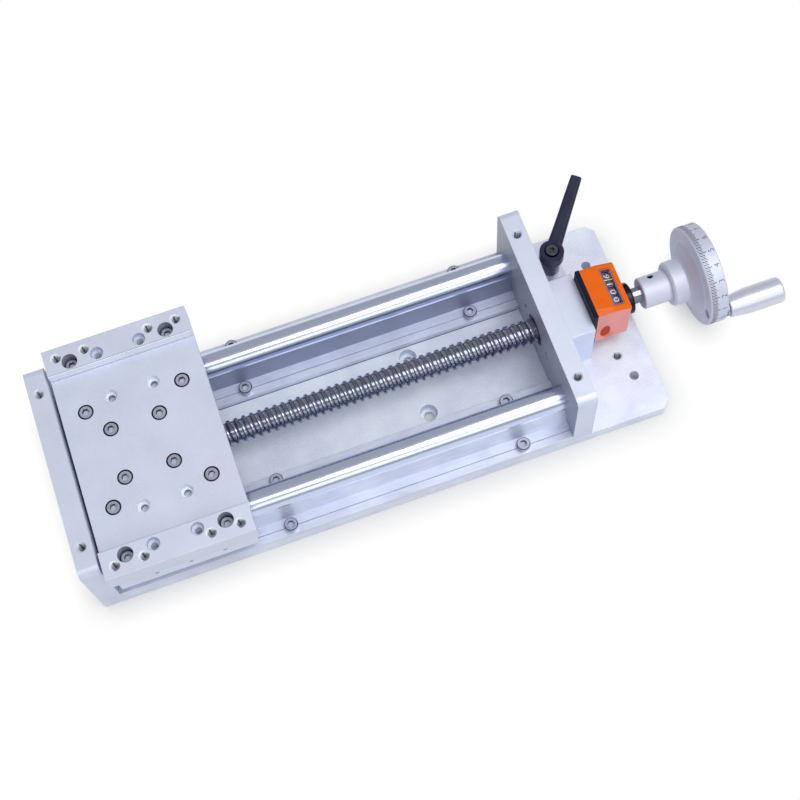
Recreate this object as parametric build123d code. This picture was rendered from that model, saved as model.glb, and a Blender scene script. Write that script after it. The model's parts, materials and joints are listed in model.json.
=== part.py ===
from build123d import *
import os
from math import cos, radians, sin, sqrt, tan

# Manual cross slide module: one ball screw axis with a handwheel, a position counter and a clamp.
# Millimetres. X runs along the travel towards the handwheel, Z is up, and the origin is the middle
# of the base plate's four mounting holes, on its underside. "Near" is the -Y side and "far" the +Y
# side. The carriage is shown at the end of its travel away from the handwheel.

# Clearances
running_gap = 0.3
shaft_fit = 0.06
seat_gap = 0.02
thread_gap = 0.05
bolt_gap = 0.25
housing_fit = 0.1

# Base plate and end plates
base_length = 370.0
base_thickness = 10.0
base_corner = 5.0
plate_thickness = 12.5
plate_height = 58.0
plate_corner = 5.0
clear_length = 291.5
edge_break = 0.5

# Rails, each a round shaft on a flanged support
axis_height = 25.0
rail_shaft_diameter = 16.0
flange_width = 40.0
flange_thickness = 5.0
web_foot_width = 18.0
web_top_width = 8.0
rail_screw_spacing = 30.0
rail_screw_pitch = 150.0
rail_screw_first = 110.5
scribe_width = 0.5
scribe_depth = 0.3

# Ball screw and its bearings
screw_diameter = 16.0
shoulder_diameter = 15.6
fixed_journal = 12.0
floating_journal = 10.0
wheel_journal = 10.0
screw_end_relief = 1.0
fixed_bearing_outer = 28.0
floating_bearing_outer = 26.0
bearing_width = 8.0
ball_count = 8
fixed_lip = 3.5
fixed_opening = 20.6
floating_lip = 2.3
floating_opening = 18.0
clip_thickness = 1.0
lock_nut_diameter = 21.0
lock_nut_width = 7.0

# Carriage plate
carriage_length = 90.0
carriage_width = 150.0
carriage_thickness = 15.0
carriage_strip = 17.7
carriage_recess = 7.0
carriage_gap = 1.75
block_top = 45.0

# Bearing blocks under the carriage
block_length = 85.0
block_width = 45.0
block_height = 33.0
block_chamfer = 8.0
block_screw_x = 60.0
block_screw_y = 32.0
linear_bearing_outer = 28.0
linear_bearing_length = 37.0
linear_bearing_angle = 80.0
block_seal_thickness = 3.0
adjuster_diameter = 2.4
adjuster_spacing = 21.0
adjuster_shift = 1.75
adjuster_rise = 3.0

# Ball nut and its housing
nut_offset = -3.55
housing_length = 40.0
housing_inset = 1.0
housing_height = 40.0
housing_screw_x = 30.0
housing_screw_y = 32.0
nut_diameter = 28.0
nut_flange_diameter = 48.0
nut_side_gap = 1.0
nut_flange_height = 40.0
nut_flange_thickness = 10.0
flange_angles = (0, 45, 135, 180, 225, 315)
used_flange_angles = (0, 180, 225, 315)
wiper_diameter = 22.0
wiper_thickness = 3.0

# Screws: thread diameter, head diameter, head height and key size
m5 = (5.0, 8.5, 5.0, 4.0)
m4 = (4.0, 7.0, 4.0, 3.0)
m4_low = (4.0, 7.0, 2.8, 2.5)
counterbore_gap = 0.5
screw_seat = 3.0
plate_engagement = 12.0
rail_engagement = 7.0
shaft_engagement = 6.0
carriage_engagement = 9.0
flange_engagement = 8.0
clamp_engagement = 8.0
thread_runout = 2.0
plate_screw_shares = (0.3, 0.62)
set_screw_diameter = 4.0

# Mounting holes
mount_hole = 6.6
mount_counterbore = 11.0
mount_counterbore_depth = 6.5
mount_spacing_long = 136.0
mount_spacing_short = 40.0
mount_centre = 158.25
tapped_hole = 5.0
tapped_mouth = 6.4
carriage_outer_pair = 75.0
tapped_depth = 12.0
plate_hole_spacing = 100.0
plate_hole_depth = 15.0
spare_hole = 4.5
spare_counterbore = 8.0
spare_counterbore_depth = 4.5
spare_spacing_x = 26.4
spare_spacing_strip = 126.0
spare_spacing_recess = 73.0
base_tapped_x = 350.75
base_tapped_spacing = 49.2
base_plain_hole = 6.0
base_plain_x = 355.6
base_plain_spacing = 81.6

# Clamp block behind the right end plate, and its slit
clamp_length = 18.2
clamp_width = 41.0
clamp_height = 43.0
ear_width = 20.0
ear_height = 28.0
slit_drop = 4.0
slit_width = 1.5
lock_nut_pocket = 25.0
lock_nut_pocket_depth = 8.0
clamp_screw_spacing = 34.6
clamp_screw_sink = 0.2

# Clamping lever
lever_offset = 31.4
stud_diameter = 6.0
stud_depth = 16.0
collar_diameter = 10.6
collar_height = 8.0
neck_diameter = 11.4
neck_height = 15.4
hub_diameter = 15.0
hub_height = 8.6
core_diameter = 8.4
core_height = 3.8
core_teeth = 8
core_notch = 2.0
lever_recess = 9.2
ledge_drop = 15.5
ledge_thickness = 3.0
lever_screw_rise = 1.0
spring_wire = 0.7
spring_turns = 5
cap_head_diameter = 8.0
cap_head_height = 3.0
arm_length = 47.6
arm_angle = 51.2
arm_rise = 12.6
arm_width = 8.6
arm_tip_width = 6.7
arm_height = 7.6
arm_tip_height = 5.4

# Position counter
counter_base_thickness = 2.8
counter_length = 22.0
counter_width = 33.0
counter_below = 11.0
counter_above = 27.7
counter_slope_start = 10.5
counter_slope_drop = 3.0
counter_wall = 1.2
counter_edge = 1.2
facet_width_base = 4.8
facet_width_front = 1.7
facet_drop = 0.8
window_length = 24.0
window_width = 6.4
drum_diameter = 13.6
drum_width = 5.1
drum_pitch = 5.5
drum_count = 4
drum_axle = 3.0
drum_window_gap = 0.8
plug_width = 6.5
plug_height = 14.5
plug_inset = 6.2
plug_rise = 1.8
plug_sink = 0.15
pin_diameter = 3.0
pin_drop = 9.4
pin_engagement = 4.0
pin_end_gap = 1.0
counter_rim = 1.2
counter_rim_depth = 1.6
bush_start_gap = 1.4
bush_diameter = 14.0
ring_diameter = 20.0
ring_width = 6.7
ring_gap = 0.8
ring_set_angle = 62.0

# Handwheel and handle
wheel_gap = 6.7
small_hub_diameter = 20.0
small_hub_length = 17.8
large_hub_diameter = 28.4
large_hub_length = 9.5
cone_depth = 5.5
cone_diameter = 46.6
lip_rise = 0.65
wheel_diameter = 64.0
rim_width = 11.8
rim_round = 1.4
front_recess_diameter = 48.0
front_recess_depth = 4.5
front_boss_diameter = 20.0
front_boss_depth = 1.5
key_width = 3.0
key_proud = 1.2
key_length = 16.0
key_angle = 13.0
hub_set_angle = 56.0
handle_radius = 27.0
handle_gap = 1.8
handle_length = 35.5
handle_root = 13.8
handle_end = 16.4
handle_taper = 13.0
handle_round = 1.8
spindle_diameter = 8.0
spindle_thread = 6.0
spindle_tip_sink = 4.0
spindle_head = 12.0
spindle_head_length = 3.0
handle_cup_depth = 8.0

# Places that follow from the sizes above
base_left = -mount_centre
left_plate_end = base_left + plate_thickness
right_plate_start = left_plate_end + clear_length
right_plate_end = right_plate_start + plate_thickness
clamp_end = right_plate_end + clamp_length
axis_z = base_thickness + axis_height
plate_top = base_thickness + plate_height
carriage_start = left_plate_end + carriage_gap
carriage_x = carriage_start + carriage_length / 2
carriage_z = base_thickness + block_top
carriage_top = carriage_z + carriage_thickness
recess_z = carriage_top - carriage_recess
nut_x = carriage_x + nut_offset
housing_start = nut_x - housing_length / 2
housing_end = nut_x + housing_length / 2
nut_bolt_circle = (nut_diameter + nut_flange_diameter) / 2
housing_width = nut_flange_diameter - 2 * housing_inset
rail_offset = nut_flange_diameter / 2 + nut_side_gap + block_width / 2
base_width = 2 * rail_offset + flange_width
rail_radius = rail_shaft_diameter / 2
flange_top = base_thickness + flange_thickness
counter_start = clamp_end + counter_base_thickness
counter_end = counter_start + counter_length
ring_start = counter_end + ring_gap
ring_end = ring_start + ring_width
wheel_start = ring_end + wheel_gap
large_hub_start = wheel_start + small_hub_length
cone_start = large_hub_start + large_hub_length
rim_start = cone_start + cone_depth + lip_rise
rim_end = rim_start + rim_width
shaft_end = rim_end - front_boss_depth - 1.0
lever_x = (right_plate_end + clamp_end) / 2
ear_top = base_thickness + ear_height
neck_bottom = ear_top + collar_height
hub_bottom = neck_bottom + neck_height
hub_top = hub_bottom + hub_height
slit_z = axis_z - slit_drop
rail_screw_xs = [left_plate_end + rail_screw_first + rail_screw_pitch * n for n in range(2)]
sides = (("near", -1), ("far", 1))


def span_box(x, y, z):
    """Block between a low and a high limit on each axis."""
    size = [high - low for low, high in (x, y, z)]
    middle = [(high + low) / 2 for low, high in (x, y, z)]
    return Pos(*middle) * Box(*size)


def rod_x(diameter, x_low, x_high, y=0.0, z=0.0):
    """Cylinder along X."""
    return Pos((x_low + x_high) / 2, y, z) * Rot(0, 90, 0) * Cylinder(diameter / 2, x_high - x_low)


def rod_y(diameter, y_low, y_high, x=0.0, z=0.0):
    """Cylinder along Y."""
    return Pos(x, (y_low + y_high) / 2, z) * Rot(90, 0, 0) * Cylinder(diameter / 2, y_high - y_low)


def rod_z(diameter, z_low, z_high, x=0.0, y=0.0):
    """Cylinder along Z."""
    return Pos(x, y, (z_low + z_high) / 2) * Cylinder(diameter / 2, z_high - z_low)


def turned(profile):
    """Solid of revolution about the screw axis, from points of X and radius."""
    outline = make_face(Polyline(*profile, close=True))
    return Pos(0, 0, axis_z) * revolve(outline, axis=Axis.X)


def ring_x(inner, outer, x_low, x_high):
    """Ring of rectangular section round the screw axis."""
    corners = ((x_low, inner / 2), (x_high, inner / 2), (x_high, outer / 2), (x_low, outer / 2))
    return turned(corners)


def section_x(points, x_low, x_high):
    """Section given as points of Y and Z, extruded along X."""
    outline = make_face(Polyline(*[(x_low, y, z) for y, z in points], close=True))
    return extrude(outline, amount=x_high - x_low, dir=(1, 0, 0))


def cap_screw(size, length):
    """Socket head screw that points down, with the underside of its head at the origin."""
    thread, head, height, key = size
    bevel = height / 10
    tip = thread / 8
    profile = (
        (0, -length), (thread / 2 - tip, -length), (thread / 2, tip - length), (thread / 2, 0),
        (head / 2, 0), (head / 2, height - bevel), (head / 2 - bevel, height), (0, height),
    )
    body = revolve(make_face(Polyline(*[(r, 0, z) for r, z in profile], close=True)), axis=Axis.Z)
    socket = extrude(RegularPolygon(key / 2, 6, major_radius=False), amount=-height * 0.55)
    return body - Pos(0, 0, height) * socket


def counterbore(size, seat_z, top_z, bottom_z, x, y):
    """Cutting tool for a screw's head above its seat and its shank below."""
    thread, head, _, _ = size
    head_room = rod_z(head + 2 * counterbore_gap, seat_z, top_z, x, y)
    return head_room + rod_z(thread + 2 * bolt_gap, bottom_z, seat_z, x, y)


def thread_hole(size, low_z, high_z, x, y):
    """Cutting tool for a tapped hole along Z that a screw of the part fills."""
    return rod_z(size[0] + 2 * thread_gap, low_z, high_z, x, y)


def tapped_mount(low_z, high_z, x, y):
    """Cutting tool for an empty tapped hole with a bevelled mouth."""
    bevel = (tapped_mouth - tapped_hole) / 2
    mouth = Pos(x, y, high_z - bevel / 2) * Cone(tapped_hole / 2, tapped_mouth / 2, bevel)
    return rod_z(tapped_hole, low_z, high_z, x, y) + mouth


def open_wedge(x_low, x_high, y):
    """The wedge that leaves a bearing open below its shaft."""
    depth = axis_height
    half = depth * tan(radians(linear_bearing_angle / 2))
    points = ((y, axis_z), (y + half, axis_z - depth), (y - half, axis_z - depth))
    return section_x(points, x_low, x_high)


def plate_screw_places():
    """Screws that hold both end plates from below, at shares of the plates' half width."""
    plate_xs = (base_left + plate_thickness / 2, right_plate_start + plate_thickness / 2)
    reaches = [share * base_width / 2 for share in plate_screw_shares]
    return [(x, side * reach) for x in plate_xs for _, side in sides for reach in reaches]


def rail_screw_places(side):
    """Screws through one rail flange."""
    rows = (rail_screw_spacing / 2, -rail_screw_spacing / 2)
    return [(x, side * rail_offset + row) for x in rail_screw_xs for row in rows]


def shaft_screw_places(side):
    """Screws from below that hold one shaft on its support, midway between the rail screws."""
    return [(x - rail_screw_pitch / 2, side * rail_offset) for x in rail_screw_xs]


def block_screw_places(side):
    """Screws from the carriage into one bearing block."""
    xs = (carriage_x - block_screw_x / 2, carriage_x + block_screw_x / 2)
    ys = (side * rail_offset - block_screw_y / 2, side * rail_offset + block_screw_y / 2)
    return [(x, y) for x in xs for y in ys]


def housing_screw_places():
    """Screws from the carriage into the nut housing."""
    xs = (nut_x - housing_screw_x / 2, nut_x + housing_screw_x / 2)
    return [(x, y) for x in xs for y in (-housing_screw_y / 2, housing_screw_y / 2)]


def flange_hole_places(angles):
    """Y and Z of holes on the nut flange's bolt circle."""
    radius = nut_bolt_circle / 2
    return [(radius * cos(radians(a)), axis_z + radius * sin(radians(a))) for a in angles]


def make_base_plate():
    right = base_left + base_length
    half = base_width / 2
    cut = base_corner
    outline = (
        (base_left, -half), (right - cut, -half), (right, cut - half),
        (right, half - cut), (right - cut, half), (base_left, half),
    )
    plate = extrude(make_face(Polyline(*outline, close=True)), amount=base_thickness)
    seat = base_thickness - mount_counterbore_depth
    for dx in (-mount_spacing_long / 2, mount_spacing_long / 2):
        for y in (-mount_spacing_short / 2, mount_spacing_short / 2):
            x = base_left + mount_centre + dx
            plate -= rod_z(mount_hole, 0, base_thickness, x, y)
            plate -= rod_z(mount_counterbore, seat, base_thickness, x, y)
    for side in (-1, 1):
        tapped_y = side * base_tapped_spacing / 2
        plain_y = side * base_plain_spacing / 2
        plate -= tapped_mount(0, base_thickness, base_left + base_tapped_x, tapped_y)
        plate -= rod_z(base_plain_hole, 0, base_thickness, base_left + base_plain_x, plain_y)
    head_room = m5[2] + counterbore_gap
    for x, y in plate_screw_places():
        plate -= rod_z(m5[1] + 2 * counterbore_gap, 0, head_room, x, y)
        plate -= rod_z(m5[0] + 2 * bolt_gap, head_room, base_thickness, x, y)
    for _, side in sides:
        for x, y in rail_screw_places(side):
            low_z = base_thickness - rail_engagement - thread_runout
            plate -= thread_hole(m5, low_z, base_thickness, x, y)
    return plate


def make_end_plate(x_low):
    """End plate with rounded top corners, before its bearing seat is bored."""
    half = base_width / 2
    plate = span_box((x_low, x_low + plate_thickness), (-half, half), (base_thickness, plate_top))
    top_corners = plate.edges().filter_by(Axis.X).group_by(Axis.Z)[-1]
    plate = fillet(top_corners, plate_corner)
    x = x_low + plate_thickness / 2
    for y in (-plate_hole_spacing / 2, plate_hole_spacing / 2):
        plate -= tapped_mount(plate_top - plate_hole_depth, plate_top, x, y)
    for screw_x, y in plate_screw_places():
        if abs(screw_x - x) < plate_thickness:
            high_z = base_thickness + plate_engagement + thread_runout
            plate -= thread_hole(m5, base_thickness, high_z, screw_x, y)
    return plate


def make_left_end_plate():
    plate = make_end_plate(base_left)
    lip_start = left_plate_end - floating_lip
    plate -= rod_x(floating_bearing_outer + 2 * seat_gap, base_left, lip_start, z=axis_z)
    plate -= rod_x(floating_opening, lip_start, left_plate_end, z=axis_z)
    groove_end = lip_start - bearing_width
    groove = floating_bearing_outer + 2 * clip_thickness
    plate -= rod_x(groove, groove_end - clip_thickness - 0.1, groove_end, z=axis_z)
    return plate


def make_right_end_plate():
    plate = make_end_plate(right_plate_start)
    lip_end = right_plate_start + fixed_lip
    plate -= rod_x(fixed_opening, right_plate_start, lip_end, z=axis_z)
    plate -= rod_x(fixed_bearing_outer + 2 * seat_gap, lip_end, right_plate_end, z=axis_z)
    head_end = right_plate_start + m4_low[2] + clamp_screw_sink
    for y in (-clamp_screw_spacing / 2, clamp_screw_spacing / 2):
        plate -= rod_x(m4_low[1] + 2 * clamp_screw_sink, right_plate_start, head_end, y, axis_z)
        plate -= rod_x(m4_low[0] + 2 * bolt_gap, head_end, right_plate_end, y, axis_z)
    return plate


def make_end_plate_screws():
    length = base_thickness - m5[2] - counterbore_gap + plate_engagement
    seat = m5[2] + counterbore_gap
    screw = Rot(180, 0, 0) * cap_screw(m5, length)
    return [Pos(x, y, seat) * screw for x, y in plate_screw_places()]


def make_rail_support(side):
    y = side * rail_offset
    half = flange_width / 2
    foot = web_foot_width / 2
    top = web_top_width / 2
    web_top = axis_z - sqrt(rail_radius ** 2 - top ** 2) + 0.5
    points = (
        (y - half, base_thickness), (y + half, base_thickness), (y + half, flange_top),
        (y + foot, flange_top), (y + top, web_top), (y - top, web_top),
        (y - foot, flange_top), (y - half, flange_top),
    )
    support = section_x(points, left_plate_end, right_plate_start)
    support -= rod_x(rail_shaft_diameter + 2 * seat_gap, left_plate_end, right_plate_start, y, axis_z)
    for row in (-rail_screw_spacing / 2, rail_screw_spacing / 2):
        line = (y + row - scribe_width / 2, y + row + scribe_width / 2)
        depth = (flange_top - scribe_depth, flange_top)
        support -= span_box((left_plate_end, right_plate_start), line, depth)
    for x, screw_y in rail_screw_places(side):
        support -= rod_z(m5[0] + 2 * bolt_gap, base_thickness, flange_top, x, screw_y)
    seat = base_thickness + m4[2] + counterbore_gap
    for x, screw_y in shaft_screw_places(side):
        support -= rod_z(m4[1] + 2 * counterbore_gap, base_thickness, seat, x, screw_y)
        support -= rod_z(m4[0] + 2 * bolt_gap, seat, axis_z - rail_radius + 1, x, screw_y)
    return support


def make_rail_shaft(side):
    y = side * rail_offset
    shaft = rod_x(rail_shaft_diameter, left_plate_end, right_plate_start, y, axis_z)
    for x, screw_y in shaft_screw_places(side):
        low_z = axis_z - rail_radius
        shaft -= thread_hole(m4, low_z, low_z + shaft_engagement + thread_runout, x, screw_y)
    return shaft


def make_rail_screws():
    screw = cap_screw(m5, flange_thickness + rail_engagement)
    return [Pos(x, y, flange_top) * screw for _, side in sides for x, y in rail_screw_places(side)]


def make_shaft_screws():
    seat = base_thickness + m4[2] + counterbore_gap
    length = axis_z - rail_radius - seat + shaft_engagement
    screw = Rot(180, 0, 0) * cap_screw(m4, length)
    return [Pos(x, y, seat) * screw for _, side in sides for x, y in shaft_screw_places(side)]


def race_sizes(inner, outer):
    """Ball diameter, pitch diameter and the two race diameters of a deep groove bearing."""
    pitch = (inner + outer) / 2
    ball = (outer - inner) * 0.29
    return ball, pitch, pitch - ball * 0.62, pitch + ball * 0.62


def make_bearing(inner, outer, x_low):
    """Outer ring, inner ring and balls of one deep groove bearing."""
    ball, pitch, inner_race, outer_race = race_sizes(inner, outer)
    x_high = x_low + bearing_width
    middle = (x_low + x_high) / 2
    groove = Pos(middle, 0, axis_z) * Rot(0, 90, 0) * Torus(pitch / 2, ball / 2 + 0.1)
    outer_ring = ring_x(outer_race, outer, x_low, x_high) - groove
    inner_ring = ring_x(inner + 2 * seat_gap, inner_race, x_low, x_high) - groove
    angles = [360 / ball_count * n for n in range(ball_count)]
    spots = [(pitch / 2 * cos(radians(a)), axis_z + pitch / 2 * sin(radians(a))) for a in angles]
    balls = [Pos(middle, y, z) * Sphere(ball / 2) for y, z in spots]
    return outer_ring, inner_ring, balls


def turned_to_key(shape):
    """Shape drawn above the screw axis, swung round the axis to where the key sits."""
    return Pos(0, 0, axis_z) * Rot(key_angle, 0, 0) * Pos(0, 0, -axis_z) * shape


def key_start():
    return ring_end + 0.5


def make_ball_screw():
    """Screw with its journals; the thread's helix is left off."""
    floating_start = left_plate_end - floating_lip
    fixed_start = right_plate_start + fixed_lip
    thread_start = left_plate_end + screw_end_relief
    thread_end = right_plate_start - screw_end_relief
    journal_change = clamp_end + running_gap
    shoulder = shoulder_diameter / 2
    neck = floating_journal / 2 + 1.6
    bevel = 1.0
    profile = (
        (base_left + 0.5, 0), (base_left + 0.5, floating_journal / 2), (floating_start, floating_journal / 2),
        (floating_start, neck), (thread_start, neck), (thread_start, screw_diameter / 2 - bevel),
        (thread_start + bevel, screw_diameter / 2), (thread_end, screw_diameter / 2),
        (thread_end, shoulder), (fixed_start, shoulder), (fixed_start, fixed_journal / 2),
        (journal_change, fixed_journal / 2), (journal_change, wheel_journal / 2),
        (shaft_end - edge_break, wheel_journal / 2), (shaft_end, wheel_journal / 2 - edge_break),
        (shaft_end, 0),
    )
    screw = turned(profile)
    key_bottom = axis_z + wheel_journal / 2 + key_proud - key_width
    half_key = key_width / 2 + seat_gap
    seat = turned_to_key(span_box((key_start(), key_start() + key_length), (-half_key, half_key),
                                  (key_bottom, axis_z + wheel_journal)))
    clip_end = floating_start - bearing_width
    groove = ring_x(floating_journal - 1.0, floating_journal + 1.0, clip_end - clip_thickness, clip_end)
    return screw - seat - groove


def make_floating_clip():
    """Open retaining ring on the journal beside the left bearing."""
    end = left_plate_end - floating_lip - bearing_width
    start = end - clip_thickness
    ring = ring_x(floating_journal - 1.0 + 2 * seat_gap, floating_journal + 3.6, start + 0.02, end - 0.02)
    mouth = span_box((start, end), (-2.6, 2.6), (axis_z - floating_journal, axis_z))
    return ring - mouth


def make_bearing_circlip():
    """Open retaining ring in the left plate's groove."""
    end = left_plate_end - floating_lip - bearing_width
    start = end - clip_thickness
    outer = floating_bearing_outer + 2 * clip_thickness - 0.2
    ring = ring_x(floating_bearing_outer - 4.0, outer, start, end - 0.02)
    mouth = span_box((start, end), (-4.0, 4.0), (axis_z - floating_bearing_outer, axis_z))
    return ring - mouth


def make_bearing_spacer():
    """Ring between the fixed bearing's outer race and the clamp block."""
    start = right_plate_start + fixed_lip + bearing_width
    return ring_x(fixed_bearing_outer - 3.6, fixed_bearing_outer - 0.2, start, right_plate_end)


def make_lock_nut():
    """Slotted round nut against the fixed bearing's inner race."""
    start = right_plate_start + fixed_lip + bearing_width
    end = start + lock_nut_width
    bevel = 0.6
    inner = fixed_journal / 2 + thread_gap
    outer = lock_nut_diameter / 2
    profile = (
        (start, inner), (end, inner), (end, outer - bevel), (end - bevel, outer),
        (start + bevel, outer), (start, outer - bevel),
    )
    nut = turned(profile)
    slot_depth = 1.6
    slot = span_box((start - 1, end + 1), (-1.6, 1.6), (outer - slot_depth, outer + 1))
    for turn in range(4):
        nut -= Pos(0, 0, axis_z) * Rot(turn * 90, 0, 0) * slot
    return nut


def make_carriage_plate():
    x_span = (carriage_start, carriage_start + carriage_length)
    half = carriage_width / 2
    inner = half - carriage_strip
    bevel = edge_break
    points = (
        (-half, carriage_z), (half, carriage_z), (half, carriage_top - bevel),
        (half - bevel, carriage_top), (inner + bevel, carriage_top), (inner, carriage_top - bevel),
        (inner, recess_z), (-inner, recess_z), (-inner, carriage_top - bevel),
        (-inner - bevel, carriage_top), (bevel - half, carriage_top), (-half, carriage_top - bevel),
    )
    plate = section_x(points, *x_span)
    seat = carriage_z + screw_seat
    screw_places = [place for _, side in sides for place in block_screw_places(side)]
    for x, y in screw_places + housing_screw_places():
        plate -= counterbore(m5, seat, carriage_top, carriage_z, x, y)
    for dx in (mount_spacing_short / 2, carriage_outer_pair / 2):
        for x in (carriage_x - dx, carriage_x + dx):
            for y in (-mount_spacing_long / 2, mount_spacing_long / 2):
                plate -= tapped_mount(carriage_top - tapped_depth, carriage_top, x, y)
    for spacing, surface in ((spare_spacing_strip, carriage_top), (spare_spacing_recess, recess_z)):
        for x in (carriage_x - spare_spacing_x / 2, carriage_x + spare_spacing_x / 2):
            for y in (-spacing / 2, spacing / 2):
                plate -= rod_z(spare_counterbore, surface - spare_counterbore_depth, carriage_top, x, y)
                plate -= rod_z(spare_hole, carriage_z, surface, x, y)
    return plate


def make_bearing_block(side):
    y = side * rail_offset
    x_low = carriage_x - block_length / 2
    x_high = carriage_x + block_length / 2
    half = block_width / 2
    low = carriage_z - block_height
    points = (
        (y - half, carriage_z), (y - half, low + block_chamfer), (y - half + block_chamfer, low),
        (y + half - block_chamfer, low), (y + half, low + block_chamfer), (y + half, carriage_z),
    )
    block = section_x(points, x_low, x_high)
    block -= rod_x(linear_bearing_outer + 2 * seat_gap, x_low, x_high, y, axis_z)
    block -= open_wedge(x_low, x_high, y)
    for x, screw_y in block_screw_places(side):
        low_z = carriage_z - carriage_engagement - thread_runout
        block -= thread_hole(m5, low_z, carriage_z, x, screw_y)
    for x in adjuster_places():
        outside = y + side * half
        block -= rod_y(adjuster_diameter + 2 * thread_gap, min(y, outside), max(y, outside),
                       x, axis_z + adjuster_rise)
    return block


def adjuster_places():
    """Small adjusting screws along the outer side of a bearing block."""
    return [carriage_x + adjuster_shift + adjuster_spacing * n for n in (-1, 0, 1)]


def make_block_adjusters():
    """Set screws that close the bearings, with slotted ends just below the block's side."""
    screws = []
    for _, side in sides:
        outside = side * (rail_offset + block_width / 2 - 0.4)
        inside = side * (rail_offset + linear_bearing_outer / 2 + 0.4)
        for x in adjuster_places():
            z = axis_z + adjuster_rise
            screw = rod_y(adjuster_diameter, min(inside, outside), max(inside, outside), x, z)
            slot = span_box((x - 2, x + 2), (outside - 0.5, outside + 0.5), (z - 0.2, z + 0.2))
            screws.append(screw - slot)
    return screws


def make_linear_bearings(side):
    """Two open bearings in one block."""
    y = side * rail_offset
    first = carriage_x - block_length / 2 + block_seal_thickness
    last = carriage_x + block_length / 2 - block_seal_thickness - linear_bearing_length
    bearings = []
    for x_low in (first, last):
        x_high = x_low + linear_bearing_length
        liner = rod_x(linear_bearing_outer, x_low, x_high, y, axis_z)
        liner -= rod_x(rail_shaft_diameter + 2 * shaft_fit, x_low, x_high, y, axis_z)
        bearings.append(liner - open_wedge(x_low, x_high, y))
    return bearings


def make_block_seals(side):
    """End seals of one block."""
    y = side * rail_offset
    first = carriage_x - block_length / 2
    last = carriage_x + block_length / 2 - block_seal_thickness
    seals = []
    for x_low in (first, last):
        x_high = x_low + block_seal_thickness
        seal = rod_x(linear_bearing_outer, x_low, x_high, y, axis_z)
        seal -= rod_x(rail_shaft_diameter + 2 * running_gap, x_low, x_high, y, axis_z)
        seals.append(seal - open_wedge(x_low, x_high, y))
    return seals


def make_carriage_screws(places):
    seat = carriage_z + screw_seat
    screw = cap_screw(m5, screw_seat + carriage_engagement)
    return [Pos(x, y, seat) * screw for x, y in places]


def make_nut_housing():
    half = housing_width / 2
    low = carriage_z - housing_height
    bevel = 2.0
    points = (
        (-half, carriage_z), (-half, low + bevel), (bevel - half, low),
        (half - bevel, low), (half, low + bevel), (half, carriage_z),
    )
    housing = section_x(points, housing_start, housing_end)
    housing -= rod_x(nut_diameter + 2 * seat_gap, housing_start, housing_end, z=axis_z)
    for x, y in housing_screw_places():
        low_z = carriage_z - carriage_engagement - thread_runout
        housing -= thread_hole(m5, low_z, carriage_z, x, y)
    hole_end = housing_start + flange_engagement + thread_runout
    for y, z in flange_hole_places(used_flange_angles):
        housing -= rod_x(m5[0] + 2 * thread_gap, housing_start, hole_end, y, z)
    return housing


def make_ball_nut():
    start = housing_start - nut_flange_thickness
    bore = screw_diameter / 2 + running_gap
    pocket = wiper_diameter / 2
    flange = nut_flange_diameter / 2
    barrel = nut_diameter / 2
    profile = (
        (start, pocket), (start + wiper_thickness, pocket), (start + wiper_thickness, bore),
        (housing_end - wiper_thickness, bore), (housing_end - wiper_thickness, pocket),
        (housing_end, pocket), (housing_end, barrel), (housing_start, barrel),
        (housing_start, flange), (start, flange),
    )
    nut = turned(profile)
    flat = nut_flange_height / 2
    nut &= span_box((start, housing_end), (-flange, flange), (axis_z - flat, axis_z + flat))
    for y, z in flange_hole_places(flange_angles):
        nut -= rod_x(m5[0] + 2 * bolt_gap, start, housing_start, y, z)
    return nut


def make_nut_wipers():
    start = housing_start - nut_flange_thickness
    inner = screw_diameter + 2 * running_gap
    outer = wiper_diameter - 2 * seat_gap
    left = ring_x(inner, outer, start, start + wiper_thickness)
    right = ring_x(inner, outer, housing_end - wiper_thickness, housing_end)
    return [left, right]


def make_nut_flange_screws():
    start = housing_start - nut_flange_thickness
    screw = Rot(0, -90, 0) * cap_screw(m5, nut_flange_thickness + flange_engagement)
    return [Pos(start, y, z) * screw for y, z in flange_hole_places(used_flange_angles)]


def make_clamp_block():
    half = clamp_width / 2
    top = base_thickness + clamp_height
    far = half + ear_width
    bevel = edge_break
    points = (
        (-half, base_thickness), (far, base_thickness), (far, ear_top), (half, ear_top),
        (half, top - bevel), (half - bevel, top), (bevel - half, top), (-half, top - bevel),
    )
    block = section_x(points, right_plate_end, clamp_end)
    pocket_end = right_plate_end + lock_nut_pocket_depth
    block -= rod_x(lock_nut_pocket, right_plate_end, pocket_end, z=axis_z)
    block -= rod_x(fixed_journal + 2 * shaft_fit, pocket_end, clamp_end, z=axis_z)
    block -= span_box((right_plate_end, clamp_end), (0, far),
                      (slit_z - slit_width / 2, slit_z + slit_width / 2))
    block -= rod_z(stud_diameter + 2 * running_gap, slit_z, ear_top, lever_x, lever_offset)
    block -= rod_z(stud_diameter + 2 * shaft_fit, slit_z - stud_depth, slit_z, lever_x, lever_offset)
    for y in (-clamp_screw_spacing / 2, clamp_screw_spacing / 2):
        hole_end = right_plate_end + clamp_engagement + thread_runout
        block -= rod_x(m4_low[0] + 2 * thread_gap, right_plate_end, hole_end, y, axis_z)
    pin_z = axis_z - pin_drop
    pin_hole_start = clamp_end - pin_engagement - pin_end_gap
    block -= rod_x(pin_diameter + 2 * thread_gap, pin_hole_start, clamp_end, z=pin_z)
    return block


def make_clamp_screws():
    seat = right_plate_start + m4_low[2] + clamp_screw_sink
    length = right_plate_end - seat + clamp_engagement
    screw = Rot(0, -90, 0) * cap_screw(m4_low, length)
    return [Pos(seat, side * clamp_screw_spacing / 2, axis_z) * screw for side in (-1, 1)]


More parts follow.
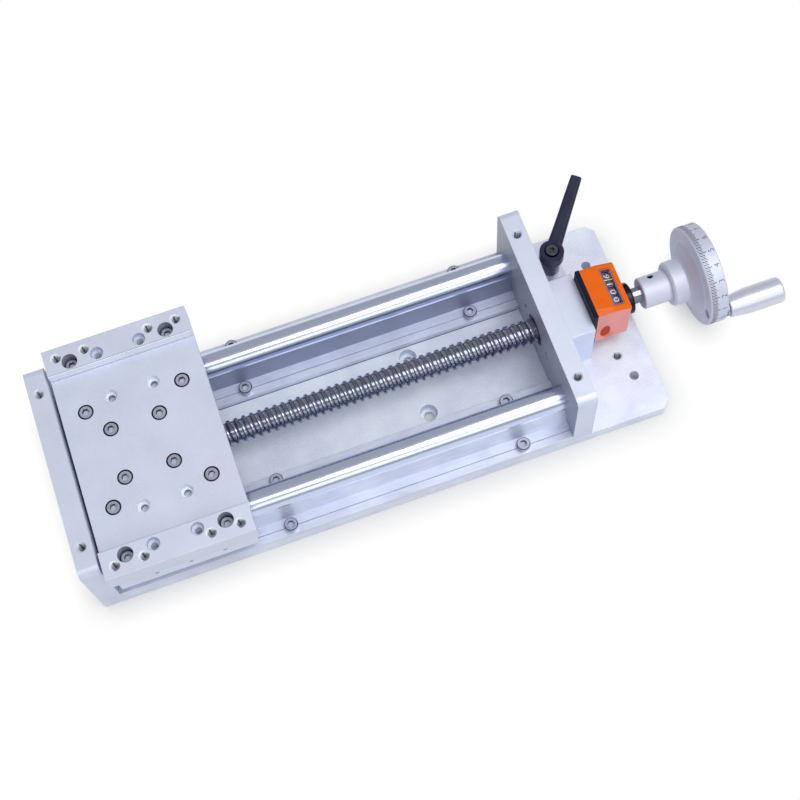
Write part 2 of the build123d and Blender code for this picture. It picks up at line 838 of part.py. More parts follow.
def make_clamp_stud():
    """Threaded insert: stud, collar and notched core."""
    stud = rod_z(stud_diameter, slit_z - stud_depth + 1.5, ear_top)
    collar = rod_z(collar_diameter, ear_top, neck_bottom - 0.1)
    core_top = neck_bottom + core_height
    core = rod_z(core_diameter, neck_bottom - 0.1, core_top)
    notch = Pos(core_diameter / 2, 0, 0) * rod_z(core_notch, neck_bottom - 0.1, core_top)
    for tooth in range(core_teeth):
        core -= Rot(0, 0, 360 / core_teeth * tooth) * notch
    insert = stud + collar + core
    insert -= rod_z(m4[0] + 2 * thread_gap, ear_top, core_top)
    return Pos(lever_x, lever_offset, 0) * Rot(0, 0, arm_angle) * insert


def lever_ledge():
    """Heights of the inner ledge that the lever's spring stands on."""
    high = hub_top - ledge_drop + ledge_thickness
    return high - ledge_thickness, high


def lever_head_seat():
    """Height of the underside of the lever screw's head."""
    return hub_top + lever_screw_rise - cap_head_height


def make_lever_screw():
    """Screw down the lever's middle that holds its spring."""
    size = (m4[0], cap_head_diameter, cap_head_height, m4[3])
    length = lever_head_seat() - ear_top - 1.0
    return Pos(lever_x, lever_offset, lever_head_seat()) * cap_screw(size, length)


def make_lever_spring():
    """Compression spring between the ledge and the screw's head."""
    bottom = lever_ledge()[1] + spring_wire / 2 + 0.05
    height = lever_head_seat() - lever_ledge()[1] - spring_wire - 0.1
    radius = (lever_recess - spring_wire) / 2 - 0.3
    path = Helix(pitch=height / spring_turns, height=height, radius=radius)
    profile = Plane(origin=path @ 0, z_dir=path % 0) * Circle(spring_wire / 2)
    return Pos(lever_x, lever_offset, bottom) * sweep(profile, path=path)


def make_lever_hub():
    """Turned hub with a narrower neck below its head."""
    bevel = 0.9
    neck = neck_diameter / 2
    radius = hub_diameter / 2
    profile = (
        (0, neck_bottom), (neck, neck_bottom), (neck, hub_bottom - 1.2), (radius, hub_bottom),
        (radius, hub_top - bevel), (radius - bevel, hub_top), (0, hub_top),
    )
    return revolve(make_face(Polyline(*[(r, 0, z) for r, z in profile], close=True)), axis=Axis.Z)


def make_lever_arm():
    """Arm that rises from the hub and narrows to a squared tip, drawn along +X."""
    root_z = hub_top - arm_height / 2 - 0.4
    stations = (
        (0.0, arm_width + 1.0, arm_height, root_z),
        (hub_diameter / 2 + 1.5, arm_width, arm_height, root_z + 1.2),
        (arm_length * 0.55, (arm_width + arm_tip_width) / 2, (arm_height + arm_tip_height) / 2,
         root_z + arm_rise * 0.5),
        (arm_length, arm_tip_width, arm_tip_height, root_z + arm_rise),
    )
    faces = []
    for reach, width, height, z in stations:
        plane = Plane(origin=(reach, 0, z), x_dir=(0, 1, 0), z_dir=(1, 0, 0))
        faces.append(plane * RectangleRounded(width, height, height * 0.28))
    return loft(faces)


def make_clamp_lever():
    """Lever with ribs inside its neck that fit the notched core."""
    lever = make_lever_hub() + make_lever_arm()
    ledge_low, ledge_high = lever_ledge()
    socket = core_diameter / 2 + running_gap
    lever -= rod_z(lever_recess, ledge_high, hub_top + arm_rise)
    lever -= rod_z(m4[0] + 2 * running_gap, ledge_low - 1, ledge_high)
    bore = rod_z(2 * socket, neck_bottom, ledge_low)
    rib = Pos(core_diameter / 2 + 0.3, 0, 0) * rod_z(core_notch - 2 * running_gap, neck_bottom,
                                                     neck_bottom + core_height - 0.3)
    for tooth in range(core_teeth):
        bore -= Rot(0, 0, 360 / core_teeth * tooth) * rib
    return Pos(lever_x, lever_offset, 0) * Rot(0, 0, arm_angle) * (lever - bore)


def counter_window_frame():
    """Plane on the counter's sloping face: origin at the window's middle, Z outwards."""
    run = counter_length - counter_slope_start
    slope = counter_slope_drop / run
    share = 0.39
    x = counter_start + counter_slope_start + run * share
    z = axis_z + counter_above - counter_slope_drop * share
    return Plane(origin=(x, 0, z), x_dir=(0, 1, 0), z_dir=(slope, 0, 1))


def drum_centre():
    """Point on the axis of the number drums."""
    frame = counter_window_frame()
    depth = counter_wall + drum_window_gap + drum_diameter / 2
    return frame.origin - frame.z_dir * depth


def counter_profile(inset):
    """Side outline of the counter in X and Z, drawn inwards by the given inset."""
    low = axis_z - counter_below + inset
    high = axis_z + counter_above - inset
    front = counter_end - inset
    bend = counter_start + counter_slope_start
    return (
        (counter_start, low), (front, low), (front, high - counter_slope_drop), (bend, high),
        (counter_start, high),
    )


def extrude_y(points, width):
    """Outline of X and Z points, extruded both ways along Y."""
    outline = make_face(Polyline(*[(x, 0, z) for x, z in points], close=True))
    return extrude(outline, amount=width / 2, both=True, dir=(0, 1, 0))


def block_above(first, second, third):
    """Cutting block on the upper side of the plane through three points."""
    first, second, third = Vector(*first), Vector(*second), Vector(*third)
    normal = (third - first).cross(second - first)
    plane = Plane(origin=first, x_dir=second - first, z_dir=normal)
    reach = 4 * counter_width
    return plane * Pos(0, 0, counter_edge) * Box(reach, reach, 2 * counter_edge)


def counter_facets():
    """Cuts that bevel the near top edge, wide at the base plate and narrow at the front."""
    high = axis_z + counter_above
    front_z = high - counter_slope_drop
    side = -counter_width / 2
    bend = counter_start + counter_slope_start
    share = counter_slope_start / counter_length
    bend_width = facet_width_base + (facet_width_front - facet_width_base) * share
    bend_drop = facet_drop * bend_width / facet_width_base
    flat = block_above((counter_start, side + facet_width_base, high), (bend, side + bend_width, high),
                       (counter_start, side, high - facet_drop))
    sloping = block_above((bend, side + bend_width, high), (counter_end, side + facet_width_front, front_z),
                          (bend, side, high - bend_drop))
    return flat + sloping


def make_counter_housing():
    body = extrude_y(counter_profile(0), counter_width)
    left = body.faces().sort_by(Axis.X)[0]
    outer_edges = ShapeList([edge for edge in body.edges() if edge not in left.edges()])
    body = fillet(outer_edges, counter_edge)
    body -= extrude_y(counter_profile(counter_wall), counter_width - 2 * counter_wall)
    body -= rod_x(bush_diameter + 2 * running_gap, counter_start, counter_end + 1, z=axis_z)
    frame = counter_window_frame()
    body -= frame * Pos(0, 0, -1) * Box(window_length, window_width, 4)
    frame_step = frame * Pos(0, 0, -0.1) * Box(window_length + 1.6, window_width + 1.2, 1.0)
    body -= frame_step
    body -= counter_facets()
    side = counter_width / 2
    body -= plug_disc(seat_gap, -side, counter_wall - side)
    axle = drum_centre()
    for sign in (-1, 1):
        wall = sign * (side - counter_wall)
        boss_end = wall - sign * 1.6
        boss = rod_y(drum_axle + 3.0, min(wall, boss_end), max(wall, boss_end), axle.X, axle.Z)
        body += boss
    body -= rod_y(drum_axle + 2 * seat_gap, counter_wall - side, side - counter_wall, axle.X, axle.Z)
    return body


def plug_disc(grow, y_low, y_high):
    """Oval disc in the counter's near side."""
    place = (counter_start + plug_inset, y_low, axis_z + plug_rise)
    plane = Plane(origin=place, x_dir=(1, 0, 0), z_dir=(0, 1, 0))
    outline = plane * Ellipse(plug_width / 2 + grow, plug_height / 2 + grow)
    return extrude(outline, amount=y_high - y_low)


def make_counter_plug():
    side = counter_width / 2
    return plug_disc(0, plug_sink - side, counter_wall - side)


def make_counter_window():
    """Clear pane in the sloping face."""
    frame = counter_window_frame()
    pane = frame * Pos(0, 0, -0.4) * Box(window_length + 1.5, window_width + 1.1, 0.36)
    return pane


def make_counter_base():
    """Plate that carries the counter, with a locating rim and a torque pin."""
    low = axis_z - counter_below
    high = axis_z + counter_above
    half = counter_width / 2
    plate = span_box((clamp_end, counter_start), (-half, half), (low, high))
    plate = chamfer(plate.faces().sort_by(Axis.X)[0].edges(), edge_break)
    inset = counter_wall + housing_fit
    inner = half - inset
    rim_low = low + inset
    rim_high = high - inset
    rim_span = (counter_start, counter_start + counter_rim_depth)
    rim = span_box(rim_span, (-inner, inner), (rim_low, rim_high))
    rim -= span_box(rim_span, (counter_rim - inner, inner - counter_rim),
                    (rim_low + counter_rim, rim_high - counter_rim))
    pin = rod_x(pin_diameter, clamp_end - pin_engagement, counter_start, z=axis_z - pin_drop)
    opening = rod_x(bush_diameter + 2 * running_gap, clamp_end, rim_span[1], z=axis_z)
    return plate + rim + pin - opening


def make_drum_axle():
    axle = drum_centre()
    reach = counter_width / 2 - counter_wall
    return rod_y(drum_axle, -reach, reach, axle.X, axle.Z)


def make_drum(number):
    """Number drum with shallow rims on both sides of its digit band."""
    axle = drum_centre()
    y = (number - (drum_count - 1) / 2) * drum_pitch
    half = drum_width / 2
    radius = drum_diameter / 2
    bore = drum_axle / 2 + shaft_fit
    band = radius - 0.15
    rim = 0.5
    profile = (
        (bore, -half), (radius, -half), (radius, rim - half), (band, rim - half),
        (band, half - rim), (radius, half - rim), (radius, half), (bore, half),
    )
    outline = make_face(Polyline(*[(r, v, 0) for r, v in profile], close=True))
    return Pos(axle.X, y, axle.Z) * revolve(outline, axis=Axis.Y)


def make_counter_bush():
    """Hollow shaft through the counter, with its clamping ring outside."""
    bore = wheel_journal / 2 + thread_gap
    start = clamp_end + bush_start_gap
    bevel = 0.8
    tube = bush_diameter / 2
    ring = ring_diameter / 2
    profile = (
        (start, bore), (ring_end, bore), (ring_end, ring - bevel), (ring_end - bevel, ring),
        (ring_start + bevel, ring), (ring_start, ring - bevel), (ring_start, tube), (start, tube),
    )
    bush = turned(profile)
    return bush - radial_hole(ring_set_screw_x(), ring_set_angle, ring, bore)


def ring_set_screw_x():
    return ring_start + ring_width * 0.55


def hub_set_screw_x():
    return wheel_start + small_hub_length * 0.45


def radial_hole(x, angle, outer, inner):
    """Set screw's hole, square to the screw axis; the angle is from +Y towards +Z."""
    length = outer - inner + 1.0
    hole = Pos(0, inner + length / 2, 0) * Rot(90, 0, 0) * Cylinder(set_screw_diameter / 2, length)
    return Pos(x, 0, axis_z) * Rot(angle, 0, 0) * hole


def make_set_screw(x, angle, outer, inner):
    """Headless screw with a hexagon socket, a little below the surface it sits in."""
    length = outer - inner - 0.8
    body = Cylinder(set_screw_diameter / 2 - thread_gap, length)
    socket_outline = RegularPolygon(set_screw_diameter / 4, 6, major_radius=False)
    socket = extrude(socket_outline, amount=-length / 2)
    body -= Pos(0, 0, length / 2) * socket
    middle = inner + 0.1 + length / 2
    return Pos(x, 0, axis_z) * Rot(angle, 0, 0) * Pos(0, middle, 0) * Rot(-90, 0, 0) * body


def make_wheel_key():
    """Parallel key between the shaft and the handwheel."""
    top = axis_z + wheel_journal / 2 + key_proud
    start = key_start() + 0.1
    key = span_box((start, start + key_length - 0.2), (-key_width / 2, key_width / 2),
                   (top - key_width + seat_gap, top))
    return turned_to_key(fillet(key.edges().filter_by(Axis.Z), key_width / 2 - 0.1))


def make_handwheel():
    """Turned wheel: stepped hub, cone back, wide rim and a recessed front."""
    bore = wheel_journal / 2 + thread_gap
    bevel = 0.6
    small = small_hub_diameter / 2
    large = large_hub_diameter / 2
    cone = cone_diameter / 2
    rim = wheel_diameter / 2
    lip = cone_start + cone_depth
    recess = front_recess_diameter / 2
    boss = front_boss_diameter / 2
    recess_x = rim_end - front_recess_depth
    boss_x = rim_end - front_boss_depth
    with BuildPart() as wheel:
        with BuildSketch(Plane.XY):
            with BuildLine():
                Polyline(
                    (wheel_start, bore), (wheel_start, small - bevel), (wheel_start + bevel, small),
                    (large_hub_start, small), (large_hub_start, large - 1.2),
                    (large_hub_start + 1.2, large), (cone_start, large), (lip, cone),
                    (rim_start, cone + 1.0), (rim_start, rim - rim_round),
                )
                RadiusArc((rim_start, rim - rim_round), (rim_start + rim_round, rim), rim_round)
                Polyline(
                    (rim_start + rim_round, rim), (rim_end - bevel, rim), (rim_end, rim - bevel),
                    (rim_end, recess + 1.0), (recess_x, recess), (recess_x, boss + 1.0),
                    (boss_x, boss), (boss_x, bore), (wheel_start, bore),
                )
            make_face()
        revolve(axis=Axis.X)
    body = Pos(0, 0, axis_z) * wheel.part
    half_key = key_width / 2 + seat_gap
    keyway_top = axis_z + wheel_journal / 2 + key_proud + 0.1
    keyway = span_box((wheel_start, rim_end), (-half_key, half_key), (axis_z, keyway_top))
    body -= turned_to_key(keyway)
    body -= rod_x(spindle_thread + 2 * thread_gap, rim_start - 1, rim_end + 1, -handle_radius, axis_z)
    return body - radial_hole(hub_set_screw_x(), hub_set_angle, small, bore)


def make_handle_spindle():
    """Shoulder screw that the handle turns on."""
    handle_start = rim_end + handle_gap
    head_start = handle_start + handle_length - handle_cup_depth + running_gap
    head_end = head_start + spindle_head_length
    thread_start = rim_start + spindle_tip_sink
    spindle = rod_x(spindle_thread, thread_start, rim_end, -handle_radius, axis_z)
    spindle += rod_x(spindle_diameter + 3.0, rim_end, handle_start - running_gap, -handle_radius, axis_z)
    spindle += rod_x(spindle_diameter, rim_end, head_end, -handle_radius, axis_z)
    spindle += rod_x(spindle_head, head_start, head_end, -handle_radius, axis_z)
    slot_y = (-handle_radius - spindle_head, spindle_head - handle_radius)
    return spindle - span_box((head_end - 1.2, head_end + 1), slot_y, (axis_z - 0.6, axis_z + 0.6))


def make_handle_grip():
    """Sleeve with a tapered root that turns on the spindle."""
    start = rim_end + handle_gap
    end = start + handle_length
    bore = spindle_diameter / 2 + shaft_fit
    cup = spindle_head / 2 + running_gap
    cup_start = end - handle_cup_depth
    root = handle_root / 2
    tip = handle_end / 2
    with BuildPart() as grip:
        with BuildSketch(Plane.XY):
            with BuildLine():
                Polyline((start, bore), (start, root - 0.6), (start + 0.6, root),
                         (start + handle_taper, tip), (end - handle_round, tip))
                RadiusArc((end - handle_round, tip), (end, tip - handle_round), handle_round)
                Polyline((end, tip - handle_round), (end, cup), (cup_start, cup),
                         (cup_start, bore), (start, bore))
            make_face()
        revolve(axis=Axis.X)
    return Pos(0, -handle_radius, axis_z) * grip.part


def build_parts():
    """Every node of the model, by name."""
    floating = make_bearing(floating_journal, floating_bearing_outer,
                            left_plate_end - floating_lip - bearing_width)
    fixed = make_bearing(fixed_journal, fixed_bearing_outer, right_plate_start + fixed_lip)
    block_screws = [place for _, side in sides for place in block_screw_places(side)]
    bush_bore = wheel_journal / 2 + thread_gap
    parts = {
        "base_plate": make_base_plate(),
        "left_end_plate": make_left_end_plate(),
        "right_end_plate": make_right_end_plate(),
        "end_plate_screws": make_end_plate_screws(),
        "rail_screws": make_rail_screws(),
        "shaft_screws": make_shaft_screws(),
        "left_bearing_outer_ring": floating[0],
        "left_bearing_inner_ring": floating[1],
        "left_bearing_balls": floating[2],
        "left_bearing_circlip": make_bearing_circlip(),
        "left_journal_clip": make_floating_clip(),
        "right_bearing_outer_ring": fixed[0],
        "right_bearing_inner_ring": fixed[1],
        "right_bearing_balls": fixed[2],
        "right_bearing_spacer": make_bearing_spacer(),
        "ball_screw": make_ball_screw(),
        "lock_nut": make_lock_nut(),
        "carriage_plate": make_carriage_plate(),
        "block_adjusters": make_block_adjusters(),
        "bearing_block_screws": make_carriage_screws(block_screws),
        "nut_housing": make_nut_housing(),
        "nut_housing_screws": make_carriage_screws(housing_screw_places()),
        "ball_nut": make_ball_nut(),
        "nut_wipers": make_nut_wipers(),
        "nut_flange_screws": make_nut_flange_screws(),
        "clamp_block": make_clamp_block(),
        "clamp_block_screws": make_clamp_screws(),
        "clamp_stud": make_clamp_stud(),
        "clamp_lever": make_clamp_lever(),
        "lever_screw": make_lever_screw(),
        "lever_spring": make_lever_spring(),
        "counter_base": make_counter_base(),
        "counter_housing": make_counter_housing(),
        "counter_plug": make_counter_plug(),
        "counter_window": make_counter_window(),
        "counter_drum_axle": make_drum_axle(),
        "counter_bush": make_counter_bush(),
        "counter_set_screw": make_set_screw(ring_set_screw_x(), ring_set_angle, ring_diameter / 2, bush_bore),
        "wheel_key": make_wheel_key(),
        "handwheel": make_handwheel(),
        "handwheel_set_screw": make_set_screw(hub_set_screw_x(), hub_set_angle, small_hub_diameter / 2,
                                              bush_bore),
        "handle_spindle": make_handle_spindle(),
        "handle_grip": make_handle_grip(),
    }
    for name, side in sides:
        parts[name + "_rail_support"] = make_rail_support(side)
        parts[name + "_rail_shaft"] = make_rail_shaft(side)
        parts[name + "_bearing_block"] = make_bearing_block(side)
        parts[name + "_linear_bearings"] = make_linear_bearings(side)
        parts[name + "_block_seals"] = make_block_seals(side)
    for number in range(drum_count):
        parts["counter_drum_" + str(number + 1)] = make_drum(number)
    return parts


os.makedirs("parts", exist_ok=True)
for node, shape in build_parts().items():
    solids = Compound(shape) if isinstance(shape, list) else shape
    export_step(solids, "parts/" + node + ".step")
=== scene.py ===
import json
from math import atan2, cos, hypot, pi, radians, sin

import bmesh
import bpy
from mathutils import Matrix, Vector


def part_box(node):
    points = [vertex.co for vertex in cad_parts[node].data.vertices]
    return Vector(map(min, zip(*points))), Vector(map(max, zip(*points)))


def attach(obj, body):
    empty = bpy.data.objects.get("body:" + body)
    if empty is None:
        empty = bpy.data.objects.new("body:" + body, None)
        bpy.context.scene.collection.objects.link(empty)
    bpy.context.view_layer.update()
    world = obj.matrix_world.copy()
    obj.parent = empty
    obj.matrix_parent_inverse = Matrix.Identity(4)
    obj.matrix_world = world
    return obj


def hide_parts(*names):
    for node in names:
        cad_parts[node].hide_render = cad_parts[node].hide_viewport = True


# Looks of the slide module: metres, in the row's frame. X runs along the travel to the handwheel.

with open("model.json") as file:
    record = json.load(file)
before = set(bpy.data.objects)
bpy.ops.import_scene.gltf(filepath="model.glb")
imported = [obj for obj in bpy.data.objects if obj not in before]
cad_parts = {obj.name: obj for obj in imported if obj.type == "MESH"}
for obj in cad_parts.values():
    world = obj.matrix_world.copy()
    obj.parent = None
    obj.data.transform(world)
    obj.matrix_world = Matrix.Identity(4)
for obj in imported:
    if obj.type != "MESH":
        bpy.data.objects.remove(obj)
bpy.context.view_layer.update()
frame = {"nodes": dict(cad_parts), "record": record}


def middle_of(node):
    """Middle of a node's box."""
    lowest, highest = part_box(node)
    return (lowest + highest) / 2


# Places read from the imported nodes
BASE_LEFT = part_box("base_plate")[0].x
BASE_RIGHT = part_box("base_plate")[1].x
BASE_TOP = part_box("base_plate")[1].z
PLATE_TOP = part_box("left_end_plate")[1].z
LEFT_PLATE_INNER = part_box("left_end_plate")[1].x
RIGHT_PLATE_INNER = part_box("right_end_plate")[0].x
CARRIAGE_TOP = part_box("carriage_plate")[1].z
RECESS_TOP = CARRIAGE_TOP - 0.007
AXIS_Z = middle_of("ball_screw").z
RAIL_Y = middle_of("far_rail_shaft").y
SUPPORT_EDGE_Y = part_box("far_rail_support")[0].y
carriage_mid = middle_of("carriage_plate").x
left_plate_mid = middle_of("left_end_plate").x
right_plate_mid = middle_of("right_end_plate").x


def grid(middle_x, xs, ys):
    """Places in plan at some distances from a middle and at some widths."""
    return [(middle_x + dx, y) for dx in xs for y in ys]


def beside_rails(row):
    """Widths of two rows on each rail."""
    return [side * RAIL_Y + y for side in (-1, 1) for y in (-row, row)]


rail_screws = grid(middle_of("rail_screws").x, (-0.075, 0.075), beside_rails(0.015))
block_screws = grid(carriage_mid, (-0.03, 0.03), beside_rails(0.016))
nut_screws = grid(middle_of("nut_housing").x, (-0.015, 0.015), (-0.016, 0.016))
spare_holes = grid(carriage_mid, (-0.0132, 0.0132), (-0.063, -0.0365, 0.0365, 0.063))
tapped_holes = grid(carriage_mid, (-0.0375, -0.02, 0.02, 0.0375), (-0.068, 0.068))
plate_holes = grid(left_plate_mid, (0,), (-0.05, 0.05)) + grid(right_plate_mid, (0,), (-0.05, 0.05))
base_holes = grid(BASE_RIGHT - 0.01925, (0,), (-0.0246, 0.0246))


def offset_from(point, places):
    """Offset in plan to a point from the nearest of some places."""
    return min(((point.x - x, point.y - y) for x, y in places), key=lambda offset: hypot(*offset))


def reach_of(point, places):
    """Distance in plan from a point to the nearest of some places."""
    return hypot(*offset_from(point, places))


# Materials

def shader(name):
    """New material with its principled shader."""
    mat = bpy.data.materials.new(name)
    mat.use_nodes = True
    return mat, mat.node_tree.nodes["Principled BSDF"]


def add(owner, kind, **inputs):
    """Adds a node to a material or world. Inputs are values or sockets, by name or as i and their number.
    Names with a leading underscore are the node's settings."""
    node = owner.node_tree.nodes.new("ShaderNode" + kind)
    for key, value in inputs.items():
        if key.startswith("_"):
            setattr(node, key[1:], value)
            continue
        numbered = key[0] == "i" and key[1:].isdigit()
        socket = node.inputs[int(key[1:]) if numbered else key.replace("_", " ")]
        if isinstance(value, bpy.types.NodeSocket):
            owner.node_tree.links.new(value, socket)
        else:
            socket.default_value = value
    return node


def link(mat, out, to):
    """Joins an output socket to an input socket."""
    mat.node_tree.links.new(out, to)


def noise(mat, scale, stretch=(1, 1, 1), detail=2.0):
    """Noise over the piece's own coordinates, stretched by scaling them."""
    coord = add(mat, "TexCoord")
    place = add(mat, "Mapping", Vector=coord.outputs["Object"], Scale=stretch)
    return add(mat, "TexNoise", Vector=place.outputs["Vector"], Scale=scale, Detail=detail).outputs["Fac"]


def ramp(mat, value, low_out, high_out, low_in=0.3, high_in=0.7):
    """Moves a value from one range to another."""
    return add(mat, "MapRange", Value=value, From_Min=low_in, From_Max=high_in,
               To_Min=low_out, To_Max=high_out).outputs["Result"]


def shade(mat, value, dark, light):
    """Colour between two by a value."""
    mix = add(mat, "Mix", _data_type="RGBA")
    link(mat, value, mix.inputs["Factor"])
    mix.inputs[6].default_value = (*dark, 1)
    mix.inputs[7].default_value = (*light, 1)
    return mix.outputs[2]


def around(color, spread):
    """A darker and a lighter tone of a colour."""
    dark = tuple(c * (1 - spread) for c in color)
    light = tuple(min(1.0, c * (1 + spread)) for c in color)
    return dark, light


def finish(mat, bsdf, fine, rough, depth, bevel):
    """Gloss and relief by the grain, and softened edges where a bevel is given."""
    link(mat, ramp(mat, fine, rough * 0.85, rough * 1.15), bsdf.inputs["Roughness"])
    relief = add(mat, "Bump", Distance=depth, Height=fine)
    if bevel:
        soft = add(mat, "Bevel", _samples=4, Radius=bevel)
        link(mat, soft.outputs["Normal"], relief.inputs["Normal"])
    link(mat, relief.outputs["Normal"], bsdf.inputs["Normal"])


def metal(name, color, rough, grain=2600.0, stretch=(1, 1, 1), depth=8e-6, spread=0.05, bevel=0.0004,
          metallic=1.0):
    """Bare metal with fine grain, a little uneven in tone and gloss, and softened edges."""
    mat, bsdf = shader(name)
    fine = noise(mat, grain, stretch, 3.0)
    cloud = noise(mat, 45.0, detail=4.0)
    blend = add(mat, "Math", _operation="ADD", i0=fine, i1=cloud)
    tone = ramp(mat, blend.outputs[0], 0.0, 1.0, 0.75, 1.25)
    link(mat, shade(mat, tone, *around(color, spread)), bsdf.inputs["Base Color"])
    bsdf.inputs["Metallic"].default_value = metallic
    finish(mat, bsdf, fine, rough, depth, bevel)
    return mat


def plastic(name, color, rough, grain=3000.0, depth=1e-5, spread=0.08, bevel=0.0003):
    """Moulded or coated surface with a fine grain."""
    mat, bsdf = shader(name)
    fine = noise(mat, grain, detail=3.0)
    cloud = noise(mat, 60.0, detail=4.0)
    link(mat, shade(mat, ramp(mat, cloud, 0.0, 1.0), *around(color, spread)), bsdf.inputs["Base Color"])
    finish(mat, bsdf, fine, rough, depth, bevel)
    return mat


def glass(name):
    """Clear pane, a little smeared."""
    mat, bsdf = shader(name)
    link(mat, ramp(mat, noise(mat, 90.0, detail=3.0), 0.0, 0.02), bsdf.inputs["Roughness"])
    bsdf.inputs["Base Color"].default_value = (0.96, 0.98, 0.98, 1)
    bsdf.inputs["Transmission Weight"].default_value = 1.0
    bsdf.inputs["IOR"].default_value = 1.1
    return mat


def ink(name, grain, dark, light, rough):
    """Print, or a band of painted light, a little uneven in tone."""
    mat, bsdf = shader(name)
    link(mat, shade(mat, noise(mat, grain), dark, light), bsdf.inputs["Base Color"])
    bsdf.inputs["Roughness"].default_value = rough
    return mat


def matt(mat, ior, level=0.5, coat=0.0, coat_rough=0.3):
    """Weakens a surface's mirror part. A coat lays a soft sheen over it."""
    bsdf = mat.node_tree.nodes["Principled BSDF"]
    bsdf.inputs["IOR"].default_value = ior
    bsdf.inputs["Specular IOR Level"].default_value = level
    bsdf.inputs["Coat Weight"].default_value = coat
    bsdf.inputs["Coat IOR"].default_value = ior
    bsdf.inputs["Coat Roughness"].default_value = coat_rough
    return mat


# Stretch of a grain that is drawn out along x, as on extruded aluminium
DRAWN = (0.03, 1, 1)

materials = {
    "anodised_plate": metal("plate_metal", (0.68, 0.735, 0.87), 0.44, 1900.0, depth=2e-5, metallic=0.4),
    "anodised_block": metal("block_metal", (0.71, 0.765, 0.91), 0.44, metallic=0.4),
    "rail_support": metal("rail_support_metal", (0.68, 0.73, 0.865), 0.38, 2200.0, DRAWN, depth=1e-5,
                          spread=0.12, metallic=0.5),
    "rail_shaft": metal("rail_shaft_metal", (0.58, 0.65, 0.84), 0.20, 900.0, (0.02, 1, 1), depth=1e-6,
                        spread=0.02, bevel=0.0),
    "screw_steel": metal("screw_metal", (0.42, 0.45, 0.55), 0.30, 3000.0),
    "bearing_steel": metal("bearing_metal", (0.45, 0.46, 0.52), 0.24, 3000.0),
    "spring_steel": metal("spring_metal", (0.28, 0.29, 0.34), 0.30, 3000.0),
    "set_screw": metal("set_screw_metal", (0.05, 0.05, 0.07), 0.34, 3000.0),
    "bearing_liner": metal("liner_metal", (0.42, 0.43, 0.48), 0.28, 3000.0),
    "seal_rubber": plastic("seal_rubber", (0.03, 0.03, 0.034), 0.6),
    "ball_screw": metal("ball_screw_metal", (0.29, 0.31, 0.39), 0.17, 1800.0, (0.15, 1, 1), depth=1e-5,
                        spread=0.12, bevel=0.0),
    "bush_black": metal("bush_metal", (0.025, 0.022, 0.035), 0.30, 3000.0),
    "counter_black": matt(plastic("counter_black", (0.017, 0.016, 0.030), 0.40), 1.35, level=0.06),
    "counter_orange": matt(plastic("counter_orange", (0.80, 0.130, 0.003), 0.34), 1.3, level=0.25, coat=0.5,
                           coat_rough=0.22),
    "counter_plug": matt(plastic("counter_plug", (0.60, 0.06, 0.018), 0.6), 1.2),
    "counter_glass": glass("counter_glass"),
    "drum_black": plastic("drum_black", (0.13, 0.12, 0.24), 0.45),
    "lever_black": matt(plastic("lever_coat", (0.026, 0.029, 0.058), 0.36, 1600.0, depth=3e-5, spread=0.2,
                                bevel=0.0004), 1.3, level=0.3),
    "lever_screw": metal("lever_screw_metal", (0.02, 0.022, 0.035), 0.30, 3000.0),
    "wheel_metal": metal("wheel_metal", (0.64, 0.68, 0.80), 0.56, 2400.0, depth=6e-6, metallic=0.35),
    "handle_metal": metal("handle_metal", (0.66, 0.69, 0.80), 0.36, 1500.0, depth=1e-6, spread=0.02,
                          bevel=0.0002, metallic=0.6),
}

# Tones of single faces, by what the photo shows there
base_metal = metal("base_metal", (0.76, 0.82, 0.99), 0.52, 1300.0, depth=4e-5, spread=0.13, metallic=0.25)
# Painted shade: a darker tone for the right end plate's inner face
milled_metal = metal("milled_metal", (0.39, 0.42, 0.52), 0.44, 1900.0, depth=2e-5, metallic=0.4)
# Painted light: the carriage's far step wall, facing the front, lighter than the plate
lit_step_metal = metal("lit_step_metal", (0.82, 0.85, 0.93), 0.44, 1900.0, depth=2e-5, metallic=0.2)
# Painted shade and painted reflection: far support web, scribe grooves, and the slit and dark side in tapped
# holes
shade_and_reflection_metal = metal("shade_and_reflection_metal", (0.36, 0.40, 0.54), 0.42, 2200.0, DRAWN, metallic=0.5)
head_metal = metal("head_metal", (0.42, 0.45, 0.57), 0.40, 2600.0, depth=2e-5, spread=0.15, bevel=0.0,
                   metallic=0.7)
# Painted shade on screw head rims and socket walls, and a painted highlight on socket floors
shaded_rim_metal = metal("shaded_rim_metal", (0.10, 0.11, 0.17), 0.40, 3000.0)
shaded_socket_metal = metal("shaded_socket_metal", (0.03, 0.03, 0.045), 0.35, 3000.0)
highlight_socket_floor = metal("highlight_socket_floor", (0.72, 0.80, 1.0), 0.50, 3000.0, metallic=0.0)
# Painted light on hole walls, and painted shade in counterbore seats and bores
lit_hole_wall = metal("lit_hole_wall", (0.84, 0.89, 1.0), 0.5, 2000.0, metallic=0.0)
shaded_seat_metal = metal("shaded_seat_metal", (0.60, 0.65, 0.78), 0.5, 2000.0, metallic=0.2)
shaded_bore_metal = metal("shaded_bore_metal", (0.36, 0.40, 0.49), 0.5, 2000.0, metallic=0.4)
shadow_metal = metal("shadow_metal", (0.10, 0.11, 0.15), 0.5, 2000.0, metallic=0.6)
# Painted shade lines at the edges of the carriage's far step
shade_line_metal = metal("shade_line_metal", (0.40, 0.43, 0.52), 0.5, 2000.0, metallic=0.4)
# Painted light: thread ridges lighter than the lit metal around them
lit_thread_metal = metal("lit_thread_metal", (0.94, 0.97, 1.0), 0.30, 3000.0, depth=1e-6, spread=0.01, metallic=0.0)
journal_metal = metal("journal_metal", (0.24, 0.27, 0.34), 0.70, 1800.0, (1, 0.2, 0.2), metallic=0.5)
